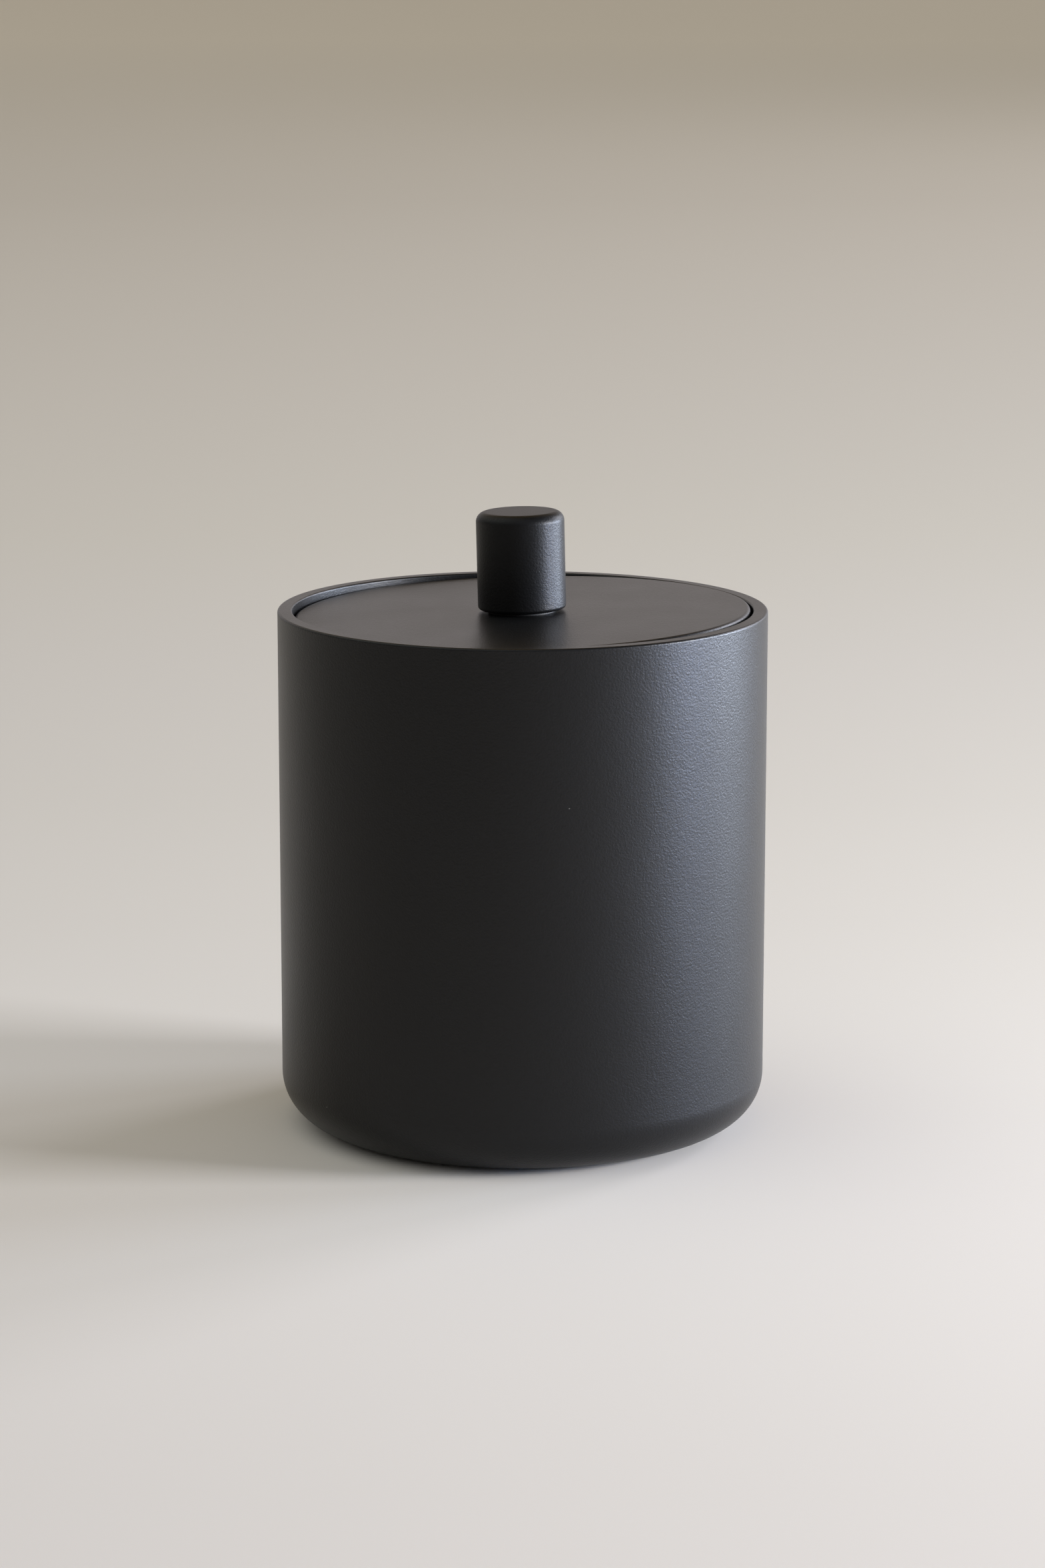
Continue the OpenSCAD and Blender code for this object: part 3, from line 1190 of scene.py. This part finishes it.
    def wax(self) -> bpy.types.Object:
        """Builds the wax in three thirds that meet edge to edge.

        Each third is a chain of rings: from the pocket under the sustainer up its bore, out
        over the top to the outline, down the wall, and back in under the floor.

        Returns:
            The piece.
        """
        grids: list[Grid] = []
        tab_top = self.sticker_top + self.tab_t + self.slip
        neck_top = tab_top + self.neck_h
        pocket = self.tab_r + self.slip
        neck = self.neck_out + self.slip
        bore = self.wick_r + self.slip
        inner_wall = Section(
            [
                Corner(pocket, self.wax_low), Corner(pocket, tab_top, self.bore_bend),
                Corner(neck, tab_top, self.bore_bend), Corner(neck, neck_top, self.bore_bend),
                Corner(bore, neck_top, self.bore_bend),
                Corner(bore, self.wax_top - self.bore_stop),
            ],
            longest=4.0,
        ).trace()[0]
        share = (np.linspace(0, 1, self.top_rings) ** self.top_crowding)[1:]
        for i in range(self.count):
            centre = self.centre(i)
            rays, hits, on_wall = self.outline(i)
            rings = [
                np.column_stack([centre + rays * r, np.full(len(rays), z)])
                for r, z in inner_wall
            ]
            lip = centre + rays * bore
            rings.append(np.column_stack([lip, self.level(*lip.T)]))
            for s in share:
                flat = lip + (hits - lip) * s
                rings.append(np.column_stack([flat, self.level(*flat.T)]))
            grids.append(Grid(np.array(rings)[::-1]))
            grids.append(self.wall(hits[on_wall]))
            # the flat underside is the same third, shrunk about the candle's own axis
            foot = hits * ((self.wax_r - self.floor_round) / self.wax_r)
            low = [
                np.column_stack([foot + (centre + rays * pocket - foot) * s,
                                 np.full(len(rays), self.wax_low)])
                for s in np.linspace(0, 1, self.floor_rings)
            ]
            grids.append(Grid(np.array(low)[::-1]))
        return make_piece("wax_poured", grids)

    def wall(self, ring: np.ndarray) -> Grid:
        """Carries the wall's section through the points of one third's outer arc.

        Args:
            ring: Points of the arc on the top edge, in order.

        Returns:
            An open grid from the top edge down to the flat floor.
        """
        rays = ring / self.wax_r
        top = self.level(*ring.T)
        drop = np.linspace(0.0, 1.0, self.wall_rows)[:, None]
        straight_low = self.wax_low + self.floor_round
        z = top + (straight_low - top) * drop
        rows = [np.column_stack([ring, row]) for row in z]
        for a in np.linspace(0, math.pi / 2, self.foot_rows)[1:]:
            r = self.wax_r - self.floor_round * (1 - math.cos(a))
            low = straight_low - self.floor_round * math.sin(a)
            rows.append(np.column_stack([rays * r, np.full(len(ring), low)]))
        return Grid(np.array(rows)[::-1], columns_close=False)

    def wick(self, i: int) -> bpy.types.Object:
        """Builds a braided wick.

        Two families of strands wind against each other. For n plaits, at angle a and height
        z, their phases are n a / 2 plus and minus n pi z / (2 pitch). A strand's crown is
        the 0.6th power of the cosine of half its phase, the product of the two phases' sines
        says which family is on top, and the radius sinks between the crowns. Above the wax
        the axis leans a little, and the tip is cut with a soft shoulder.

        Args:
            i: The wick's number.

        Returns:
            The piece.
        """
        top = self.wax_top + self.wick_tip
        z = np.linspace(self.sticker_top, top, self.wick_rows)
        a = np.arange(self.wick_columns) * FULL_TURN / self.wick_columns
        zz, aa = np.meshgrid(z, a, indexing="ij")
        half = self.plaits / 2
        p = half * aa + FULL_TURN * zz / self.plait_pitch * half / 2
        q = half * aa - FULL_TURN * zz / self.plait_pitch * half / 2
        over = 0.5 + 0.5 * np.sin(p) * np.sin(q)
        crown = np.maximum(
            np.abs(np.cos(p / 2)) ** 0.6 * over, np.abs(np.cos(q / 2)) ** 0.6 * (1 - over)
        )
        sunk = self.strand_depth * (1 - np.clip(crown * 1.25, 0, 1))
        radius = self.wick_r * (1 - sunk)
        shoulder = np.clip((top - zz) / self.tip_shoulder, 0, 1)
        radius = radius * np.sqrt(np.clip(1 - (1 - shoulder) ** 2 * 0.5, 0, 1))
        lift = np.clip(zz - self.wax_top, 0, None) / self.wick_tip
        lean_a = math.radians(self.lean_first_deg + self.lean_turn_deg * i)
        lean = self.lean * lift**2
        cx, cy = self.centre(i)
        points = np.stack(
            [
                cx + radius * np.cos(aa) + lean * math.cos(lean_a),
                cy + radius * np.sin(aa) + lean * math.sin(lean_a),
                zz,
            ],
            axis=2,
        )
        tip = self.cap(points[-1], crowned=self.tip_crown)[::-1]
        points = np.concatenate([self.cap(points[0]), points, tip])
        return make_piece(f"wick_braid_{i + 1}", [Grid(points)])

    @staticmethod
    def cap(ring: np.ndarray, crowned: float = 0.0) -> np.ndarray:
        """Rings that close an end: the end ring shrunk towards its middle, crowned upwards.

        Args:
            ring: The end ring (n, 3).
            crowned: How far its middle rises, in millimetres.

        Returns:
            The rings (3, n, 3), from the middle out.
        """
        middle = ring.mean(0)
        shares = np.array([0.0, 0.4, 0.8])[:, None, None]
        rings = middle + (ring - middle) * shares
        rings[..., 2] += crowned * (1 - shares[..., 0] ** 2)
        return rings

    def tab(self, i: int) -> bpy.types.Object:
        """Builds a sustainer: a pressed disc whose neck is crimped in four flutes.

        On the neck the radius shrinks by the depth times (1 - cos 4a) / 2 at angle a, and
        the flutes fade in over the neck's second millimetre.

        Args:
            i: The wick's number.

        Returns:
            The piece.
        """
        low, high = self.sticker_top, self.sticker_top + self.tab_t
        neck_top = high + self.neck_h
        section = Section(
            [
                Corner(self.neck_in, low, self.tab_mouth_edge),
                Corner(self.tab_r, low, self.tab_edge),
                Corner(self.tab_r, high, self.tab_edge),
                Corner(self.neck_out, high, self.tab_fillet),
                Corner(self.neck_out, neck_top, self.neck_edge),
                Corner(self.neck_in, neck_top, self.neck_edge),
            ],
            closed=True,
            longest=0.7,
        )
        grid = lathe(section, self.tab_columns)
        r = np.hypot(grid.points[..., 0], grid.points[..., 1])
        a = np.arctan2(grid.points[..., 1], grid.points[..., 0])
        rise = np.clip((grid.points[..., 2] - high - 1.0) / 1.0, 0, 1)
        rise = rise * rise * (3 - 2 * rise)
        on_neck = rise * (r > self.neck_in + 0.05)
        flute = 1 - self.flute_depth * on_neck * (0.5 - 0.5 * np.cos(4 * a))
        grid.points[..., :2] *= flute[..., None]
        grid.points[..., :2] += self.centre(i)
        grid.normals = None
        return make_piece(f"tab_crimped_{i + 1}", [grid])

    def build(self) -> None:
        """Builds and dresses the pieces of the candle."""
        dress(self.wax(), PouredWax().build("poured_wax"), Body.TIN, Slot.WAX, "wax_fill")
        cotton = CottonBraid().build("waxed_cotton")
        tin_plate = MottledSteel().build("tin_plate")
        dot = Foam(
            dark=(0.55, 0.51, 0.43), pale=(0.68, 0.64, 0.55), cell_scale=2600.0, relief=0.3
        ).build("dot_pale_foam")
        for i in range(self.count):
            number = i + 1
            dress(self.wick(i), cotton, Body.TIN, Slot.WICK, f"wick_{number}")
            dress(self.tab(i), tin_plate, Body.TIN, Slot.TAB, f"wick_tab_{number}")
            dress_node(f"wick_sticker_{number}", dot, Slot.STICKER)


@dataclass
class Lid:
    """The push-in lid, drawn from the middle of its top face and set askew in the mouth."""

    pivot_z: float = 102.27571
    seal_mid: float = -4.15
    tilt_deg: float = 1.35
    cover_r: float = 46.5
    cover_t: float = 1.0
    cover_h: float = 3.5
    cover_round: float = 0.8
    flange_low: float = -1.8
    flange_r: float = 45.25
    pan_r: float = 42.65
    pan_t: float = 0.8
    pan_low: float = -7.3
    fold_r: float = 43.85
    dimple_r: float = 6.0
    thread_r: float = 2.05
    seal_in: float = 42.7
    seal_low: float = -6.45
    seal_h: float = 4.6
    seal_w: float = 2.4
    band_w: float = 1.32
    lip_h: float = 1.0
    lips: int = 3
    lip_root: float = 0.2
    seal_edge: float = 0.15
    hole_edge: float = 0.05
    skirt_edge: float = 0.2
    fold_edge: float = 0.06
    press_bend: float = 0.3
    bend: float = 0.25
    edge: float = 0.1

    def place(self) -> Matrix:
        """Turns the lid about the middle of its seal and sets it at its height.

        Returns:
            The placing matrix, in millimetres.
        """
        return (
            Matrix.Translation((0, 0, self.pivot_z))
            @ Matrix.Rotation(math.radians(-self.tilt_deg), 4, "Y")
            @ Matrix.Translation((0, 0, -self.seal_mid))
        )

    def cover(self) -> bpy.types.Object:
        """Builds the lid plate with its turned-down skirt.

        Returns:
            The piece.
        """
        skirt = self.cover_r - self.cover_t
        section = Section(
            [
                Corner(self.thread_r, -self.cover_t, self.hole_edge),
                Corner(skirt, -self.cover_t, self.bend),
                Corner(skirt, -self.cover_h, self.edge),
                Corner(self.cover_r, -self.cover_h, self.skirt_edge),
                Corner(self.cover_r, 0.0, self.cover_round),
                Corner(self.thread_r, 0.0, self.hole_edge),
            ],
            closed=True,
            arc_step_deg=5.0,
        )
        return make_piece("cover_plate", [lathe(section, COLUMNS_WIDE).moved(self.place())])

    def pan(self) -> bpy.types.Object:
        """Builds the under-pan: flange, wall, folded edge, floor and screw dimple.

        Returns:
            The piece.
        """
        floor = self.pan_low + self.pan_t
        inside = self.pan_r - self.pan_t
        dimple_out = self.dimple_r + self.pan_t
        section = Section(
            [
                Corner(self.thread_r, self.flange_low, self.hole_edge),
                Corner(self.dimple_r, self.flange_low, self.bend),
                Corner(self.dimple_r, self.pan_low, self.bend + self.pan_t),
                Corner(self.fold_r, self.pan_low, self.pan_t / 2),
                Corner(self.fold_r, floor, self.pan_t / 2),
                Corner(self.pan_r, floor, self.fold_edge),
                Corner(self.pan_r, self.flange_low, self.fold_edge),
                Corner(self.flange_r, self.flange_low, self.edge),
                Corner(self.flange_r, -self.cover_t, self.edge),
                Corner(inside, -self.cover_t, self.press_bend),
                Corner(inside, floor, self.press_bend),
                Corner(dimple_out, floor, self.bend),
                Corner(dimple_out, -self.cover_t, self.press_bend),
                Corner(self.thread_r, -self.cover_t, self.hole_edge),
            ],
            closed=True,
        )
        return make_piece("pan_pressed", [lathe(section, COLUMNS_MIDDLE).moved(self.place())])

    def seal(self) -> bpy.types.Object:
        """Builds the seal ring with its rounded lips, evenly spaced up its outside.

        Returns:
            The piece.
        """
        tip = self.seal_in + self.seal_w
        band = self.seal_in + self.band_w
        step = (self.seal_h - self.lip_h) / (self.lips - 1)
        corners = [Corner(self.seal_in, self.seal_low, self.seal_edge)]
        for k in range(self.lips):
            z = self.seal_low + k * step
            if k:
                corners.append(Corner(band, z, self.lip_root))
            corners.append(Corner(tip, z, self.lip_h / 2))
            corners.append(Corner(tip, z + self.lip_h, self.lip_h / 2))
            if k < self.lips - 1:
                corners.append(Corner(band, z + self.lip_h, self.lip_root))
        corners.append(Corner(self.seal_in, self.seal_low + self.seal_h, self.seal_edge))
        section = Section(corners, closed=True)
        return make_piece("seal_lipped_ring", [lathe(section, COLUMNS_MIDDLE).moved(self.place())])

    def build(self) -> None:
        """Builds and dresses the pieces of the lid."""
        coat = bpy.data.materials["matt_coat"]
        dress(self.cover(), coat, Body.LID, Slot.COAT, "lid_cover")
        steel = TurnedSteel(
            dark=(0.34, 0.335, 0.33), pale=(0.56, 0.555, 0.545), line_scale=3600.0
        ).build("pan_spun_steel")
        dress(self.pan(), steel, Body.LID, Slot.PAN, "lid_pan")
        dress(self.seal(), SoftRubber().build("seal_silicone"), Body.SEAL, Slot.SEAL, "lid_seal")


@dataclass
class Knob:
    """The turned knob with its washer, its screw from below and the split washer."""

    lid: Lid = field(default_factory=Lid)
    r: float = 9.0
    low: float = 0.5
    height: float = 20.0
    top_round: float = 2.0
    foot_round: float = 0.8
    thread_r: float = 2.05
    thread_chamfer: float = 0.5
    hole_top: float = 10.9
    screw_r: float = 2.0
    screw_low: float = -2.6
    screw_top: float = 9.4
    head_r: float = 4.0
    head_h: float = 2.2
    head_round: float = 0.8
    socket_af: float = 2.5
    socket_depth: float = 1.2
    pitch: float = 0.7
    thread_depth: float = 0.34
    washer_t: float = 0.8
    split_mm: float = 0.7
    split_slant: float = 0.577
    split_steps: int = 97
    hole_end_bend: float = 0.1
    hole_edge: float = 0.05
    small_edge: float = 0.08
    socket_land: float = 0.35
    thread_runout: float = 0.6
    thread_fade: float = 0.5
    lead_in: float = 0.45
    columns: int = 96
    thread_steps: int = 10

    def grip(self) -> bpy.types.Object:
        """Builds the knob, from the end of its tapped hole over its foot to its top.

        Returns:
            The piece.
        """
        high = self.low + self.height
        section = Section(
            [
                Corner(0.0, self.hole_top),
                Corner(self.thread_r, self.hole_top, self.hole_end_bend),
                Corner(self.thread_r, self.low + self.thread_chamfer, self.hole_edge),
                Corner(self.thread_r + self.thread_chamfer, self.low, self.hole_edge),
                Corner(self.r, self.low, self.foot_round),
                Corner(self.r, high, self.top_round),
                Corner(0.0, high),
            ],
            arc_step_deg=4.0,
            longest=3.0,
        )
        return make_piece("knob_turned", [lathe(section, COLUMNS_SMALL).moved(self.lid.place())])

    def screw(self) -> bpy.types.Object:
        """Builds the screw as a chain of rings: hexagon socket, button head, threaded shank.

        The hexagon's radius at angle a is its half width over the cosine of a's distance
        from the nearest flat. On the shank the radius falls by the depth times a triangle
        wave of (height / pitch - turn), which draws one helix.

        Returns:
            The piece.
        """
        a = np.arange(self.columns) * FULL_TURN / self.columns
        flat = (a + math.pi / 6) % (math.pi / 3) - math.pi / 6
        hexagon = self.socket_af / 2 / np.cos(flat)
        base = self.screw_low - self.head_h
        end = base + self.socket_depth
        # the socket's floor from its middle out, its wall, and its countersunk mouth
        rows: list[tuple[np.ndarray, float]] = [(hexagon * s, end) for s in (0.0, 0.5, 0.97)]
        rows += [(hexagon, end - 0.04), (hexagon, base + 0.12)]
        rows += [(np.maximum(hexagon, self.socket_af / 2 + 0.14) + 0.03, base + 0.01)]
        head = Section(
            [
                Corner(self.socket_af / 2 + self.socket_land, base),
                Corner(self.head_r, base, self.head_round),
                Corner(self.head_r, self.screw_low, self.small_edge),
                Corner(self.screw_r, self.screw_low),
            ],
            longest=0.6,
        ).trace()[0]
        rows += [(np.full(self.columns, r), z) for r, z in head]
        step = self.pitch / self.thread_steps
        z = np.arange(self.screw_low + 0.05, self.screw_top - 0.001, step)
        phase = (z[:, None] / self.pitch - a[None] / FULL_TURN) % 1.0
        wave = np.clip(np.abs(2 * phase - 1) * 1.25 - 0.1, 0, 1)
        rise = (z - self.screw_low - self.thread_runout) / self.thread_fade
        fade = np.clip(rise, 0, 1)[:, None]
        lead = np.clip((self.screw_top - z) / self.thread_fade, 0, 1)[:, None]
        radius = self.screw_r - self.thread_depth * wave * fade
        radius = np.minimum(radius, self.screw_r - self.lead_in * (1 - lead))
        rows += [(radius[k], float(z[k])) for k in range(len(z))]
        rows += [(radius[-1] * s, self.screw_top) for s in (0.98, 0.5, 0.0)]
        r = np.array([row[0] for row in rows])
        h = np.array([row[1] for row in rows])[:, None]
        points = np.stack([r * np.cos(a), r * np.sin(a), a * 0 + h], axis=2)
        return make_piece("screw_threaded", [Grid(points).moved(self.lid.place())])

    def split_washer(self) -> bpy.types.Object:
        """Builds the split washer: a square section swept almost once round, cut on a slant.

        At height h the two cut faces stand at angles shifted by h, so that the slot leans.

        Returns:
            The piece.
        """
        inner, outer = self.thread_r, self.head_r
        low, high = self.screw_low, self.screw_low + self.washer_t
        section = Section(
            [
                Corner(inner, low, self.small_edge), Corner(outer, low, self.small_edge),
                Corner(outer, high, self.small_edge), Corner(inner, high, self.small_edge),
            ],
            closed=True,
            longest=0.5,
        ).trace()[0]
        middle_r = (inner + outer) / 2
        half_gap = self.split_mm / 2 / middle_r
        share = np.linspace(0, 1, self.split_steps)
        lean = (section[:, 1] - (low + high) / 2) * self.split_slant / middle_r
        a = half_gap + (FULL_TURN - 2 * half_gap) * share[None] + lean[:, None]
        points = np.stack(
            [
                section[:, :1] * np.cos(a), section[:, :1] * np.sin(a),
                np.broadcast_to(section[:, 1:], a.shape),
            ],
            axis=2,
        )
        ends = []
        for column, turn in ((0, 1), (-1, -1)):
            edge = points[:, column]
            middle = edge.mean(0)
            rows = middle + (edge - middle) * np.array([1.0, 0.5, 0.0])[:, None, None]
            ends.append(Grid(rows[::turn]).moved(self.lid.place()))
        body = Grid(points, rows_close=True, columns_close=False).moved(self.lid.place())
        return make_piece("washer_split", [body, *ends])

    def build(self) -> None:
        """Builds and dresses the knob and its fixings."""
        # the knob is sprayed apart from the sheet parts, and comes out a little duller
        coat = PowderCoat(roughness=(0.38, 0.45), ior=1.31).build("knob_coat")
        dress(self.grip(), coat, Body.LID, Slot.COAT, "knob")
        bright = MottledSteel().build("screw_bright_steel")
        dress(self.screw(), bright, Body.LID, Slot.SCREW, "knob_screw")
        spring = MottledSteel(
            dark=(0.26, 0.255, 0.25), pale=(0.44, 0.435, 0.42), roughness=(0.3, 0.5)
        ).build("spring_dull_steel")
        dress(self.split_washer(), spring, Body.LID, Slot.SCREW, "spring_washer")
        nylon = Foam(
            dark=(0.008, 0.008, 0.008), pale=(0.014, 0.014, 0.014),
            cell_scale=4000.0, roughness=(0.5, 0.62), relief=0.1,
        ).build("washer_nylon")
        dress_node("knob_washer", nylon, Slot.WASHER)


# ---------------------------------------------------------------- studio


@dataclass(frozen=True)
class Panel:
    """A soft light panel: where it hangs, what it faces, its size, power and colour."""

    name: str
    place: tuple[float, float, float]
    aim: tuple[float, float, float]
    size: tuple[float, float]
    power: float
    colour: Colour

    def hang(self) -> None:
        """Adds the light to the scene."""
        lamp = bpy.data.lights.new(self.name, "AREA")
        lamp.shape = "RECTANGLE"
        lamp.size, lamp.size_y = self.size
        lamp.energy = self.power
        lamp.color = self.colour
        panel = bpy.data.objects.new(self.name, lamp)
        panel.location = self.place
        facing = Vector(self.aim) - Vector(self.place)
        panel.rotation_euler = facing.to_track_quat("-Z", "Y").to_euler()
        bpy.context.scene.collection.objects.link(panel)


@dataclass(frozen=True)
class Glow:
    """Light from one side of the room: an axis, a side of it, high or low, and its colour."""

    axis: int
    side: float
    high: bool
    colour: Colour


@dataclass
class Studio:
    """Pale floor, soft light and the camera."""

    floor_size: float = 30.0
    floor_drop: float = 0.00003
    floor_lines: int = 9
    paper_scale: float = 900.0
    paper_roughness: tuple[float, float] = (0.85, 0.95)
    paper_relief: tuple[float, float] = (0.08, 0.0001)
    # colour of the floor at distances behind the tin, with painted light and shade in it: palest
    # by the tin, darker farther back where the light falls off, paler again far off
    floor_painted_light_bands: tuple[tuple[float, Colour], ...] = (
        (-0.360, (0.731, 0.690, 0.650)),
        (-0.205, (0.727, 0.687, 0.641)),
        (-0.061, (0.771, 0.729, 0.677)),
        (0.005, (0.776, 0.738, 0.680)),
        (0.159, (0.699, 0.660, 0.600)),
        (0.319, (0.670, 0.630, 0.566)),
        (0.535, (0.666, 0.623, 0.560)),
        (0.845, (0.658, 0.613, 0.533)),
        (1.325, (0.651, 0.602, 0.524)),
        (2.888, (0.617, 0.564, 0.482)),
        (7.750, (0.730, 0.657, 0.542)),
        (12.000, (0.720, 0.645, 0.530)),
    )
    air_split: tuple[float, float] = (0.15, 0.60)
    # a pale band just over the skyline, so the far end of the floor meets no dark
    haze_band: tuple[float, float] = (0.03, 0.08)
    haze_colour: Colour = (0.50, 0.46, 0.40)
    air_glows: tuple[Glow, ...] = (
        Glow(0, -1.0, True, (0.94, 0.97, 0.92)),
        Glow(0, 1.0, False, (2.10, 2.15, 2.25)),
        Glow(1, -1.0, True, (0.55, 0.55, 0.55)),
        Glow(1, 1.0, True, (0.28, 0.18, 0.05)),
        Glow(1, 1.0, False, (0.87, 0.82, 0.83)),
    )
    panels: tuple[Panel, ...] = (
        Panel("window", (1.0, -0.17, 0.24), (0.0, 0.0, 0.06), (0.30, 0.25), 14.0,
              (1.0, 0.985, 0.99)),
        Panel("window_low", (1.0, -0.17, 0.12), (0.0, 0.0, 0.06), (0.30, 0.14), 4.7,
              (0.25, 0.47, 1.0)),
        Panel("wall_bounce", (2.0, 0.70, 0.21), (0.0, 0.0, 0.05), (0.70, 0.40), 57.0,
              (0.71, 0.81, 1.0)),
        Panel("far_window", (3.0, 2.6, 1.6), (0.6, 1.4, 0.0), (1.2, 1.2), 58.0,
              (0.87, 0.88, 1.0)),
    )
    camera_place: tuple[float, float, float] = (0.0, -0.8493, 0.24534)
    camera_yaw: float = -0.0057
    camera_pitch: float = 11.645
    camera_roll: float = -0.021
    lens: float = 96.76
    sensor: float = 36.0
    clip: tuple[float, float] = (0.01, 100.0)

    def floor(self) -> None:
        """Lays the floor: a wide sheet of pale paper with a barely seen tooth, its colour banded
        from front to back with painted light and shade.
        """
        half = self.floor_size / 2
        x = np.linspace(-half, half, self.floor_lines)
        gx, gy = np.meshgrid(x, x, indexing="ij")
        points = np.stack([gx, gy, gx * 0 - self.floor_drop], axis=2) / MM
        sheet = make_piece("floor", [Grid(points[::-1].copy(), columns_close=False)])
        s = Shader("pale_paper_painted_light")
        here = s.where()
        tooth = s.noise(here, self.paper_scale, 3.0, 0.6)
        back = s.split(here)[1]
        first, last = self.floor_painted_light_bands[0][0], self.floor_painted_light_bands[-1][0]
        share = s.add(
            "ShaderNodeMapRange", {"Value": back, "From Min": first, "From Max": last}
        ).outputs[0]
        # the bands paint light and shade into the paper's colour: palest by the tin, darker behind
        # it
        stops = [((y - first) / (last - first), c) for y, c in self.floor_painted_light_bands]
        s.set(Base_Color=s.ramp(share, stops), Roughness=s.span(tooth, *self.paper_roughness))
        s.bump((tooth, *self.paper_relief))
        sheet.data.materials.append(s.material)

    def air(self) -> None:
        """Fills the room with soft light, as a sum of glows that fade into each other.

        A glow's share is the squared cosine of the angle round Z from its side, so the four
        sides add up to one, times a smooth step in height that divides low from high. Near
        the skyline no direction is darker than the haze.
        """
        world = bpy.data.worlds.new("room")
        bpy.context.scene.world = world
        world.use_nodes = True
        n = Nodes(world.node_tree)
        parts = n.split(n.add("ShaderNodeTexCoord").outputs["Generated"])
        high = n.step(parts[2], *self.air_split)
        low = n.math("SUBTRACT", 1.0, high)
        squares = [n.math("MULTIPLY", parts[k], parts[k]) for k in (0, 1)]
        across = n.math("MAXIMUM", n.math("ADD", *squares), 1e-6)
        total: Any = (0.0, 0.0, 0.0)
        for glow in self.air_glows:
            toward = n.math("MAXIMUM", n.math("MULTIPLY", parts[glow.axis], glow.side), 0.0)
            share = n.math("DIVIDE", n.math("MULTIPLY", toward, toward), across)
            share = n.math("MULTIPLY", share, high if glow.high else low)
            total = n.vector("ADD", n.scaled(glow.colour, share), total)
        near_skyline = n.math("SUBTRACT", 1.0, n.step(parts[2], *self.haze_band))
        total = n.vector("MAXIMUM", total, n.scaled(self.haze_colour, near_skyline))
        n.feed(world.node_tree.nodes["Background"].inputs[0], total)

    def camera(self) -> None:
        """Stands the camera, a long lens a little above the tin."""
        data = bpy.data.cameras.new("view")
        data.lens = self.lens
        data.sensor_width = self.sensor
        data.clip_start, data.clip_end = self.clip
        cam = bpy.data.objects.new("view", data)
        cam.location = self.camera_place
        cam.rotation_euler = Euler(
            (
                math.radians(90.0 - self.camera_pitch),
                math.radians(self.camera_roll),
                math.radians(-self.camera_yaw),
            ),
            "XYZ",
        )
        bpy.context.scene.collection.objects.link(cam)
        bpy.context.scene.camera = cam

    def build(self) -> None:
        """Sets the whole stage."""
        self.floor()
        self.air()
        for panel in self.panels:
            panel.hang()
        self.camera()
        bpy.context.scene.view_settings.view_transform = "Standard"
        log.info("stage: floor, air, panels and camera")


def main() -> None:
    """Builds the candle tin round the frame."""
    logging.basicConfig(level=logging.INFO, format="%(name)s: %(message)s")
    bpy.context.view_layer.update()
    Tin().build()
    Candle().build()
    Lid().build()
    Knob().build()
    Studio().build()


if __name__ == "__main__":
    main()
